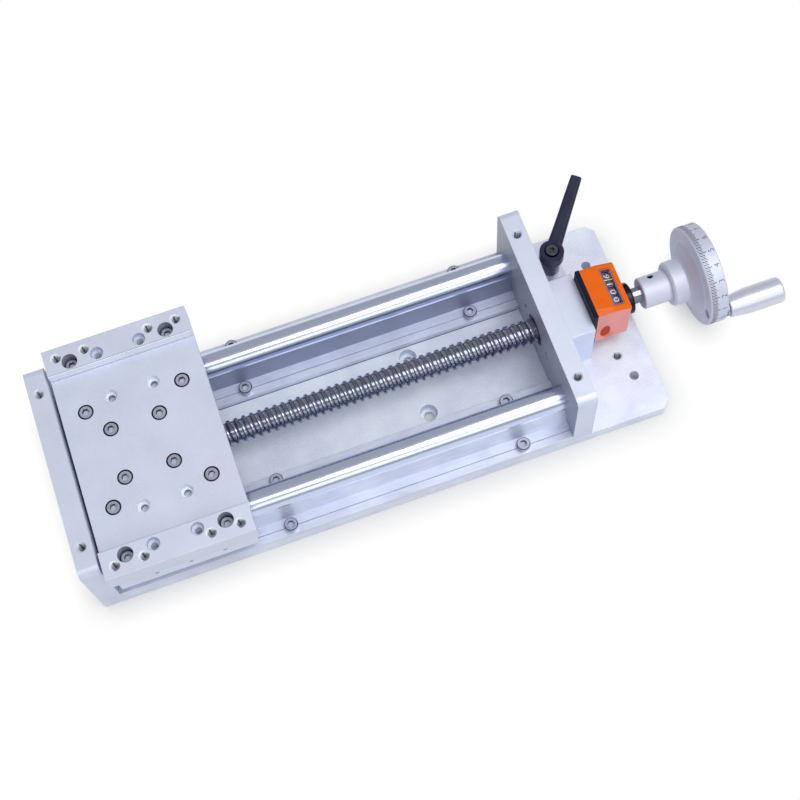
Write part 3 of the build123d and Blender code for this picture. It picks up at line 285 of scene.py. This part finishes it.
# Painted shade: the handwheel's cone faces a little darker than the rest of the wheel
shaded_cone_metal = metal("shaded_cone_metal", (0.56, 0.56, 0.68), 0.50, 2400.0, depth=6e-6, metallic=0.35)
neck_metal = metal("neck_metal", (0.13, 0.14, 0.20), 0.26, 2600.0, metallic=0.8)
cap_metal = metal("cap_metal", (0.085, 0.095, 0.12), 0.34, 1800.0, depth=3e-5, spread=0.25)
# Painted reflection: a pinker tone for the counter housing's sides, standing for the bright surroundings
# they mirror
sheen_orange_side = matt(plastic("sheen_orange_side", (0.86, 0.19, 0.12), 0.34), 1.3, coat=1.0, coat_rough=0.22)
ink_white = ink("ink_white", 900.0, (0.86, 0.87, 0.88), (0.93, 0.94, 0.95), 0.5)
ink_lime = ink("ink_lime", 900.0, (0.72, 0.78, 0.12), (0.80, 0.86, 0.2), 0.5)
ink_dark = matt(ink("ink_dark", 1500.0, (0.006, 0.007, 0.012), (0.012, 0.014, 0.02), 0.7), 1.15)
# Painted light: a lilac frame around the counter's window, lighter than the shaded walls it covers
lit_edge_ink = ink("lit_window_edge", 700.0, (0.30, 0.13, 0.20), (0.38, 0.18, 0.26), 0.4)

for entry in frame["record"]["subparts"]:
    mesh = frame["nodes"][entry["node"]].data
    mesh.materials.clear()
    mesh.materials.append(materials[entry["material_slot"]])
frame["nodes"]["base_plate"].data.materials[0] = base_metal


# Tones of facets, chosen by where they lie

def add_tones(node, **tones):
    """Adds materials to a node's mesh. Gives the mesh and the materials' numbers by name."""
    mesh = frame["nodes"][node].data
    numbers = {}
    for name, mat in tones.items():
        numbers[name] = len(mesh.materials)
        mesh.materials.append(mat)
    return mesh, numbers


KEY_REACH = 0.0024
SKIN = 0.0001


def tone_heads(node, places):
    """Face of upright socket head screws, with painted shade on the rim and socket walls and a painted
    highlight on the socket floor.
    """
    mesh, tone = add_tones(node, face=head_metal, rim=shaded_rim_metal, socket=shaded_socket_metal, floor=highlight_socket_floor)
    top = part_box(node)[1].z
    for poly in mesh.polygons:
        sunk = poly.center.z < top - SKIN
        upright = poly.normal.z
        if sunk and reach_of(poly.center, places) < KEY_REACH:
            poly.material_index = tone["floor"] if upright > 0.9 else tone["socket"]
        elif upright > 0.98 and not sunk:
            poly.material_index = tone["face"]
        elif upright > 0.3:
            poly.material_index = tone["rim"]


tone_heads("rail_screws", rail_screws)
tone_heads("bearing_block_screws", block_screws)
tone_heads("nut_housing_screws", nut_screws)

HEAD_BORE_REACH = 0.0049
SPARE_REACH = 0.0042
PILOT_REACH = 0.0030
STRIP_EDGE_Y = 0.058
STEP_LOW_Y = 0.0560
STEP_HIGH_Y = 0.0590


def is_bevel(normal):
    """Whether a facet lies on the bevel of a hole's mouth."""
    return 0.3 < normal.z < 0.9


def carriage_tone(point, normal):
    """Which tone a facet of the carriage plate gets, or none for its own: painted shade in the screw
    counterbores, on one side of each tapped hole's mouth, in the strips' spare counterbores and in the
    recess's spare pilot holes; painted light on the other hole walls and on the far step's front wall.
    """
    on_strip = abs(point.y) > STRIP_EDGE_Y
    if abs(normal.z) > 0.9 and point.z > RECESS_TOP - SKIN:
        return None
    if reach_of(point, block_screws + nut_screws) < HEAD_BORE_REACH and abs(normal.z) < 0.5:
        return "bore" if on_strip else "shadow"
    if reach_of(point, tapped_holes) < SPARE_REACH:
        shaded_side = is_bevel(normal) and normal.x < 0.35 and normal.y > -0.2
        return "bore" if shaded_side else "wall"
    if reach_of(point, spare_holes) < SPARE_REACH and not is_bevel(normal):
        in_pilot = reach_of(point, spare_holes) < PILOT_REACH and normal.z < 0.5
        if on_strip:
            return "wall" if in_pilot else "seat"
        return "bore" if in_pilot else "wall"
    if normal.y < -0.5 and STEP_LOW_Y < point.y < STEP_HIGH_Y:
        return "step"
    return None


mesh, tone = add_tones("carriage_plate", shadow=shadow_metal, wall=lit_hole_wall, bore=shaded_bore_metal,
                       step=lit_step_metal, seat=shaded_seat_metal)
for poly in mesh.polygons:
    chosen = carriage_tone(poly.center, poly.normal)
    if chosen:
        poly.material_index = tone[chosen]

PLATE_HOLE_REACH = 0.0026
PLATE_HOLE_BOTTOM = 0.052
# Painted light on the walls of the plates' tapped holes, and painted shade on the right plate's inner face
for node in ("left_end_plate", "right_end_plate"):
    mesh, tone = add_tones(node, wall=lit_hole_wall, milled=milled_metal)
    for poly in mesh.polygons:
        inside = PLATE_HOLE_BOTTOM < poly.center.z < PLATE_TOP - SKIN
        if inside and reach_of(poly.center, plate_holes) < PLATE_HOLE_REACH and not is_bevel(poly.normal):
            poly.material_index = tone["wall"]
        elif poly.normal.x < -0.95 and abs(poly.center.x - RIGHT_PLATE_INNER) < 0.0005:
            poly.material_index = tone["milled"]

HOUSING_SIDE_Y = 0.0155
# Painted reflection on the counter housing's sides
mesh, tone = add_tones("counter_housing", side=sheen_orange_side)
for poly in mesh.polygons:
    if abs(poly.normal.y) > 0.9 and abs(poly.center.y) > HOUSING_SIDE_Y:
        poly.material_index = tone["side"]

CONE_LOW_R = 0.0150
CONE_HIGH_R = 0.0235
# Painted shade on the handwheel's cone faces
mesh, tone = add_tones("handwheel", cone=shaded_cone_metal)
for poly in mesh.polygons:
    radius = hypot(poly.center.y, poly.center.z - AXIS_Z)
    if poly.normal.x < -0.5 and CONE_LOW_R < radius < CONE_HIGH_R:
        poly.material_index = tone["cone"]

WEB_LOW = 0.0160
WEB_HIGH = 0.0300
SCRIBE_LOW = 0.0146
SCRIBE_HIGH = 0.01499
# Painted shade in the scribe grooves of both supports, and on the far support's web faces
for node in ("near_rail_support", "far_rail_support"):
    mesh, tone = add_tones(node, web=shade_and_reflection_metal)
    for poly in mesh.polygons:
        on_web = abs(poly.normal.y) > 0.6 and WEB_LOW < poly.center.z < WEB_HIGH
        in_scribe = SCRIBE_LOW < poly.center.z < SCRIBE_HIGH
        if in_scribe or (on_web and node == "far_rail_support"):
            poly.material_index = tone["web"]

NECK_TOP = 0.0605
NECK_LOW_R = 0.0050
NECK_HIGH_R = 0.0064
lever_place = [middle_of("lever_screw").xy]
mesh, tone = add_tones("clamp_lever", neck=neck_metal)
for poly in mesh.polygons:
    if poly.center.z < NECK_TOP and NECK_LOW_R < reach_of(poly.center, lever_place) < NECK_HIGH_R:
        poly.material_index = tone["neck"]

CAP_KEY_REACH = 0.0018
CAP_KEY_DEPTH = 0.0025
cap_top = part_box("lever_screw")[1].z
# Painted shade on the cap screw's socket walls
mesh, tone = add_tones("lever_screw", cap=cap_metal, socket=shaded_socket_metal)
for poly in mesh.polygons:
    below = cap_top - poly.center.z
    if below < SKIN:
        poly.material_index = tone["cap"]
    elif below < CAP_KEY_DEPTH and reach_of(poly.center, lever_place) < CAP_KEY_REACH:
        poly.material_index = tone["cap"] if poly.normal.z > 0.9 else tone["socket"]


# Mesh pieces

def new_mesh(name, verts, faces, mat, body, smooth=True):
    """Mesh piece that rides on a body."""
    data = bpy.data.meshes.new(name)
    data.from_pydata([tuple(v) for v in verts], [], faces)
    data.update()
    data.materials.append(mat)
    for poly in data.polygons:
        poly.use_smooth = smooth
    obj = bpy.data.objects.new(name, data)
    bpy.context.scene.collection.objects.link(obj)
    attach(obj, body)
    return obj


def join_parts(parts):
    """Joins lists of vertices and faces."""
    verts, faces = [], []
    for v, f in parts:
        start = len(verts)
        verts += list(v)
        faces += [tuple(i + start for i in face) for face in f]
    return verts, faces


def revolved(profile, steps, to_world):
    """Vertices and faces of points (along, radius) turned about an axis."""
    verts, faces = [], []
    for k in range(steps):
        a = 2 * pi * k / steps
        verts += [to_world(along, r, a) for along, r in profile]
    n = len(profile)
    for k in range(steps):
        m = (k + 1) % steps
        for j in range(n - 1):
            faces.append((k * n + j, k * n + j + 1, m * n + j + 1, m * n + j))
    return verts, faces


def strip(name, body, mat, centre, along, length, width, thick):
    """Thin straight strip, of a length along a unit vector and a width along y."""
    across = Vector((0, 1, 0))
    normal = along.cross(across)
    verts = []
    for height in (0, thick):
        for a, b in ((-1, -1), (1, -1), (1, 1), (-1, 1)):
            verts.append(centre + along * a * length / 2 + across * b * width / 2 + normal * height)
    faces = [(3, 2, 1, 0), (4, 5, 6, 7), (0, 1, 5, 4), (1, 2, 6, 5), (2, 3, 7, 6), (3, 0, 4, 7)]
    return new_mesh(name, verts, faces, mat, body, False)


# Threads of the tapped holes

THREAD_PITCH = 0.001
THREAD_MAJOR = 0.00246
THREAD_MINOR = 0.00215
MOUTH_DEPTH = 0.0009
# Bearings in each tapped hole of a painted reflection, a dark slit, and of a painted shaded side
REFLECTION_FROM, REFLECTION_TO = radians(95), radians(115)
SHADED_FROM, SHADED_TO = radians(-30), radians(35)


def thread_sleeve(x, y, top, depth):
    """Ridges on the wall of a tapped hole."""
    profile = []
    for k in range(int(depth / THREAD_PITCH)):
        z = top - MOUTH_DEPTH - k * THREAD_PITCH
        profile += [(z, THREAD_MAJOR), (z - THREAD_PITCH * 0.5, THREAD_MINOR)]
    return revolved(profile, 24, lambda z, r, a: (x + r * cos(a), y + r * sin(a), z))


def tapped_threads(name, body, places, top, depth):
    """Threads of some holes as one piece, in a painted light tone. Each has a painted reflection as a dark
    slit and a painted shaded side.
    """
    verts, faces = join_parts([thread_sleeve(x, y, top, depth) for x, y in places])
    ridges = new_mesh(name, verts, faces, lit_thread_metal, body)
    ridges.data.materials.append(shade_and_reflection_metal)
    for poly in ridges.data.polygons:
        dx, dy = offset_from(poly.center, places)
        bearing = atan2(dy, dx)
        if REFLECTION_FROM < bearing < REFLECTION_TO or SHADED_FROM < bearing < SHADED_TO:
            poly.material_index = 1


tapped_threads("carriage_threads", "carriage", tapped_holes, CARRIAGE_TOP, depth=0.010)
tapped_threads("plate_threads", "frame", plate_holes, PLATE_TOP, depth=0.013)
tapped_threads("base_threads", "frame", base_holes, BASE_TOP, depth=0.0085)

# Ball screw

LEAD = 0.005
CREST_R = 0.008
PLATE_GAP = 0.001
GROOVE_HALF = 0.0016
GROOVE_DEPTH = 0.0012
SHOULDER = 0.00012
LINE_DEPTH = 0.0001
LINE_HALF = 0.00009
LINE_PLACES = (0.00196, 0.00230)
GROOVE_STEPS = 10
STEPS_PER_TURN = 40
thread_start = LEFT_PLATE_INNER + PLATE_GAP
thread_end = RIGHT_PLATE_INNER - PLATE_GAP


def around_screw(along, r, a):
    """Point at a radius and angle around the ball screw's axis."""
    return (along, r * cos(a), AXIS_Z + r * sin(a))


def land_profile():
    """Crest from one groove's middle to the next: round groove, shoulders, and fine lines on the land."""
    right_side = [(GROOVE_HALF + SHOULDER, CREST_R)]
    for x in LINE_PLACES:
        right_side += [(x - LINE_HALF, CREST_R), (x, CREST_R - LINE_DEPTH), (x + LINE_HALF, CREST_R)]
    groove = []
    for k in range(GROOVE_STEPS + 1):
        a = pi * k / GROOVE_STEPS
        groove.append((-GROOVE_HALF * cos(a), CREST_R - LINE_DEPTH - GROOVE_DEPTH * sin(a)))
    left_side = [(-x, r) for x, r in reversed(right_side)]
    return [(-LEAD / 2, CREST_R)] + left_side + groove + right_side + [(LEAD / 2, CREST_R)]


def threaded_length():
    """Helix of the profile between the end plates, cut off square at its ends."""
    profile = land_profile()
    rows = (int((thread_end - thread_start) / LEAD) + 3) * STEPS_PER_TURN
    verts, faces = [], []
    n = len(profile)
    for k in range(rows + 1):
        a = 2 * pi * k / STEPS_PER_TURN
        shift = thread_start - LEAD + LEAD * k / STEPS_PER_TURN
        for x, r in profile:
            verts.append(around_screw(min(max(x + shift, thread_start), thread_end), r, a))
    for k in range(rows):
        for j in range(n - 1):
            faces.append((k * n + j, k * n + j + 1, (k + 1) * n + j + 1, (k + 1) * n + j))
    return verts, faces


JOURNAL_R = 0.005
BEARING_R = 0.006
LEFT_COLLAR_R = 0.0066
RIGHT_COLLAR_R = 0.0078
CHAMFER = 0.0005
left_seat_end = BASE_LEFT + 0.0102
right_collar_end = BASE_LEFT + 0.3075
bearing_end = BASE_LEFT + 0.335
screw_left, screw_right = (corner.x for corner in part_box("ball_screw"))
left_journal = [(screw_left, 0), (screw_left, JOURNAL_R), (left_seat_end, JOURNAL_R),
                (left_seat_end, LEFT_COLLAR_R), (thread_start, LEFT_COLLAR_R), (thread_start, CREST_R)]
right_journal = [(thread_end, CREST_R), (thread_end, RIGHT_COLLAR_R), (right_collar_end, RIGHT_COLLAR_R),
                 (right_collar_end, BEARING_R), (bearing_end, BEARING_R), (bearing_end, JOURNAL_R),
                 (screw_right - CHAMFER, JOURNAL_R), (screw_right, JOURNAL_R - CHAMFER), (screw_right, 0)]
journals = [revolved(profile, 64, around_screw) for profile in (left_journal, right_journal)]
verts, faces = join_parts([threaded_length()] + journals)
thread = new_mesh("ball_screw_thread", verts, faces, materials["ball_screw"], "spindle")
thread.data.set_sharp_from_angle(angle=radians(35))
thread.data.materials.append(journal_metal)
for poly in thread.data.polygons:
    if poly.center.x > right_plate_mid:
        poly.material_index = 1
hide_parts("ball_screw")


# Numbers and marks

glyphs = {}


def glyph(text, size, widen=1.0, thin=0.0):
    """Flat outline of a character, centred and cut into strips both ways, as 2-D vertices and faces."""
    key = (text, size, widen, thin)
    if key not in glyphs:
        curve = bpy.data.curves.new("glyph", "FONT")
        curve.body = text
        curve.size = size
        curve.offset = -thin
        curve.align_x = "CENTER"
        curve.align_y = "CENTER"
        curve.resolution_u = 3
        obj = bpy.data.objects.new("glyph", curve)
        bpy.context.scene.collection.objects.link(obj)
        bpy.context.view_layer.update()
        flat = bmesh.new()
        flat.from_mesh(obj.evaluated_get(bpy.context.evaluated_depsgraph_get()).to_mesh())
        for axis in (Vector((1, 0, 0)), Vector((0, 1, 0))):
            for cut in range(-5, 10):
                everything = flat.verts[:] + flat.edges[:] + flat.faces[:]
                bmesh.ops.bisect_plane(flat, geom=everything, plane_co=axis * cut * size / 10, plane_no=axis)
        flat.verts.index_update()
        xs = [v.co.x for v in flat.verts]
        ys = [v.co.y for v in flat.verts]
        mid_x, mid_y = (min(xs) + max(xs)) / 2, (min(ys) + max(ys)) / 2
        outline = [((x - mid_x) * widen, y - mid_y) for x, y in zip(xs, ys)]
        glyphs[key] = outline, [tuple(v.index for v in face.verts) for face in flat.faces]
        flat.free()
        bpy.data.objects.remove(obj)
        bpy.data.curves.remove(curve)
    return glyphs[key]


DIGIT_SIZE = 0.0058
DIGIT_WIDEN = 1.18
DIGIT_R = 0.00668
DIGIT_STEP = radians(36)
DRUM_PITCH = 0.0055
READING = (0, 0, 1, 6)
WINDOW_TILT = atan2(0.006, 0.023)
SIGHT_TURN = radians(6)
drum_mid = middle_of("counter_drum_1")


def digits_of_drum(drum):
    """Ten digits around a drum, turned so that its digit of the reading faces the window and the eye."""
    y = (drum - 1.5) * DRUM_PITCH
    parts = []
    for digit in range(10):
        outline, glyph_faces = glyph(str(digit), DIGIT_SIZE, DIGIT_WIDEN)
        middle = WINDOW_TILT + SIGHT_TURN - (digit - READING[drum]) * DIGIT_STEP
        verts = []
        for u, v in outline:
            a = middle - v / DIGIT_R
            verts.append((drum_mid.x + DIGIT_R * sin(a), y + u, drum_mid.z + DIGIT_R * cos(a)))
        parts.append((verts, glyph_faces))
    return join_parts(parts)


for drum in range(4):
    verts, faces = digits_of_drum(drum)
    number = drum + 1
    new_mesh(f"drum_{number}_digits", verts, faces, ink_white, f"drum_{number}", False)

WINDOW_HEIGHT = 0.0088
PLY = 0.0001
slope_normal = Vector((sin(WINDOW_TILT), 0, cos(WINDOW_TILT)))
slope_along = Vector((cos(WINDOW_TILT), 0, -sin(WINDOW_TILT)))
window_mid = Vector((drum_mid.x, 0, drum_mid.z)) + slope_normal * WINDOW_HEIGHT


def window_strip(name, mat, down, length, width, along=0.0, across=0.0, thick=PLY):
    """Strip parallel to the window, moved along its slope, across it and down from its outer face."""
    centre = window_mid + slope_along * along + Vector((0, across, 0)) - slope_normal * down
    strip(name, "frame", mat, centre, slope_along, length, width, thick)


window_strip("decimal_line", ink_lime, down=0.00085, length=0.0058, width=0.0006,
             across=0.0051)

# Painted shadow lines: in the seam between each rail support and the base, and along both edges of the
# carriage's far step

along_x = Vector((1, 0, 0))
for side in (-1, 1):
    seam = Vector((middle_of("far_rail_support").x, side * (SUPPORT_EDGE_Y - 0.00015), BASE_TOP + 0.00002))
    strip(f"support_seam_{side + 2}", "frame", shadow_metal, seam, along_x, length=0.290,
          width=0.0004, thick=PLY)
for name, y, top in (("step_shade_line_low", 0.0571, RECESS_TOP), ("step_shade_line_high", 0.0579, CARRIAGE_TOP)):
    edge = Vector((carriage_mid, y, top + 0.00001))
    strip(name, "carriage", shade_line_metal, edge, along_x, length=0.0895, width=0.0003,
          thick=0.00003)

# Marks and numbers on the handwheel's rim

wheel_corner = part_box("handwheel")[1]
RIM_R = wheel_corner.y + 0.00002
RIM_BACK = wheel_corner.x - 0.01175
MARKS = 200
NUMBERS = 20
FIRST_MARK = radians(181)
MARK_START = 0.0010
MARK_END, FIFTH_END, TENTH_END = 0.0043, 0.0052, 0.0058
FINE_HALF, BOLD_HALF = 0.00014, 0.00023
NUMBER_SIZE = 0.0052
NUMBER_THIN = 0.00008
NUMBER_PLACE = 0.0089


def rim_marks():
    """Fine marks, with the fifth and tenth ones longer and every second one a little bolder."""
    parts = []
    for n in range(MARKS):
        a = FIRST_MARK - 2 * pi * n / MARKS
        half = (FINE_HALF if n % 2 else BOLD_HALF) / RIM_R
        start = RIM_BACK + MARK_START
        end = RIM_BACK + (TENTH_END if n % 10 == 0 else FIFTH_END if n % 5 == 0 else MARK_END)
        corners = ((start, -half), (end, -half), (end, half), (start, half))
        parts.append(([around_screw(x, RIM_R, a + turn) for x, turn in corners], [(0, 1, 2, 3)]))
    return parts


def rim_numbers():
    """A number at each tenth mark, read from the handle's side."""
    parts = []
    for n in range(NUMBERS):
        middle = FIRST_MARK - 2 * pi * n / NUMBERS
        outline, glyph_faces = glyph(str(n), NUMBER_SIZE, thin=NUMBER_THIN)
        verts = [around_screw(RIM_BACK + NUMBER_PLACE - v, RIM_R, middle - u / RIM_R) for u, v in outline]
        parts.append((verts, glyph_faces))
    return parts


verts, faces = join_parts(rim_marks() + rim_numbers())
new_mesh("rim_marks", verts, faces, ink_dark, "spindle", False)

# Counter's window: cheeks at the drums' ends, a mask over the neighbouring digits and a frame of painted
# light along the window's edges, over its shaded walls

MASK_DOWN = 0.0016
MASK_SHIFT = 0.00056
EDGE_LIGHT_DOWN = 0.0002
EDGE_LIGHT_WIDTH = 0.0006
EDGE_LIGHT_PLY = 0.00005
mask_black = materials["drum_black"]
for side in (-1, 1):
    window_strip(f"drum_cheek_{side + 2}", mask_black, MASK_DOWN, length=0.0062, width=0.0009,
                 across=side * 0.01155)
for side in (-1, 1):
    window_strip(f"drum_mask_{side + 2}", mask_black, MASK_DOWN, length=0.00125, width=0.0221,
                 along=MASK_SHIFT + side * 0.00278)
for side in (-1, 1):
    window_strip(f"lit_window_edge_end_{side + 2}", lit_edge_ink, EDGE_LIGHT_DOWN, length=0.0072,
                 width=EDGE_LIGHT_WIDTH, across=side * 0.01215, thick=EDGE_LIGHT_PLY)
    window_strip(f"lit_window_edge_side_{side + 2}", lit_edge_ink, EDGE_LIGHT_DOWN, length=EDGE_LIGHT_WIDTH,
                 width=0.0237, along=side * 0.0033, thick=EDGE_LIGHT_PLY)


# Camera, solved from the photo's corners

AZIMUTH, ELEVATION, ROLL = radians(12.146), radians(68.579), radians(-7.526)
DISTANCE = 0.9347
FOCAL_PIXELS = 1520.99
PICTURE_PIXELS = 800.0
SENSOR = 36.0
TARGET = Vector((0.05219, -0.01327, 0.030))

camera_data = bpy.data.cameras.new("camera")
camera_data.lens = FOCAL_PIXELS * SENSOR / PICTURE_PIXELS
camera_data.sensor_width = SENSOR
camera_data.clip_start = 0.05
camera_data.clip_end = 50.0
camera = bpy.data.objects.new("camera", camera_data)
bpy.context.scene.collection.objects.link(camera)
away = Vector((sin(AZIMUTH) * cos(ELEVATION), cos(AZIMUTH) * cos(ELEVATION), -sin(ELEVATION)))
level_right = away.cross(Vector((0, 0, 1))).normalized()
level_up = level_right.cross(away)
right = level_right * cos(ROLL) + level_up * sin(ROLL)
up = -level_right * sin(ROLL) + level_up * cos(ROLL)
spot = TARGET - away * DISTANCE
camera.matrix_world = Matrix(((right.x, up.x, -away.x, spot.x),
                              (right.y, up.y, -away.y, spot.y),
                              (right.z, up.z, -away.z, spot.z),
                              (0, 0, 0, 1)))
bpy.context.scene.camera = camera


# Light and backdrop

def lamp(name, where, aim, width, depth, watts, color):
    """Area lamp at a place, facing another."""
    data = bpy.data.lights.new(name, "AREA")
    data.shape = "RECTANGLE"
    data.size = width
    data.size_y = depth
    data.energy = watts
    data.color = color
    obj = bpy.data.objects.new(name, data)
    obj.location = where
    obj.rotation_mode = "QUATERNION"
    obj.rotation_quaternion = (Vector(aim) - Vector(where)).to_track_quat("-Z", "Y")
    bpy.context.scene.collection.objects.link(obj)


lamp("overhead", (0.66, -0.50, 2.40), aim=(0.10, 0, 0), width=1.7, depth=1.2, watts=30.2,
     color=(1.0, 0.99, 1.0))
lamp("front_softbox", (0.42, -0.95, 0.75), aim=(0.20, 0, 0.03), width=1.4, depth=0.55, watts=3.0,
     color=(1.0, 1.0, 1.0))


def seen_directly(owner):
    """1 on camera, glossy and transmission rays."""
    path = add(owner, "LightPath").outputs
    first = add(owner, "Math", _operation="MAXIMUM", i0=path["Is Camera Ray"], i1=path["Is Glossy Ray"])
    second = add(owner, "Math", _operation="MAXIMUM", i0=first.outputs[0], i1=path["Is Transmission Ray"])
    return second.outputs[0]


# White to the eye, and grey in mirrors and as light
world = bpy.data.worlds.new("studio")
bpy.context.scene.world = world
world.use_nodes = True
world.node_tree.nodes.clear()
plain = add(world, "Background", Color=(0.92, 0.94, 1.0, 1), Strength=0.5)
sight = add(world, "LightPath")
level = add(world, "MapRange", Value=sight.outputs["Is Camera Ray"], To_Min=0.5, To_Max=1.0)
white = add(world, "Background", Color=(1, 1, 1, 1), Strength=level.outputs["Result"])
mix = add(world, "MixShader", i0=seen_directly(world), i1=plain.outputs[0], i2=white.outputs[0])
add(world, "OutputWorld", Surface=mix.outputs[0])

# Floor that looks white, save where the object shades it from close by
FLOOR_DROP = 0.0002
SHADE_REACH = 0.018
floor_data = bpy.data.meshes.new("floor")
floor_data.from_pydata([(-4, -4, 0), (4, -4, 0), (4, 4, 0), (-4, 4, 0)], [], [(0, 1, 2, 3)])
floor = bpy.data.objects.new("floor", floor_data)
floor.location.z = -FLOOR_DROP
bpy.context.scene.collection.objects.link(floor)
floor_mat = bpy.data.materials.new("floor")
floor_mat.use_nodes = True
floor_mat.node_tree.nodes.clear()
diffuse = add(floor_mat, "BsdfDiffuse", Color=(0.52, 0.53, 0.56, 1))
glow = add(floor_mat, "Emission", Color=(1, 1, 1, 1))
openness = add(floor_mat, "AmbientOcclusion", _samples=8, Distance=SHADE_REACH)
share = add(floor_mat, "Math", _operation="MULTIPLY", i0=seen_directly(floor_mat), i1=openness.outputs["AO"])
mix = add(floor_mat, "MixShader", i0=share.outputs[0], i1=diffuse.outputs[0], i2=glow.outputs[0])
add(floor_mat, "OutputMaterial", Surface=mix.outputs[0])
floor_data.materials.append(floor_mat)

bpy.context.scene.view_settings.view_transform = "Standard"
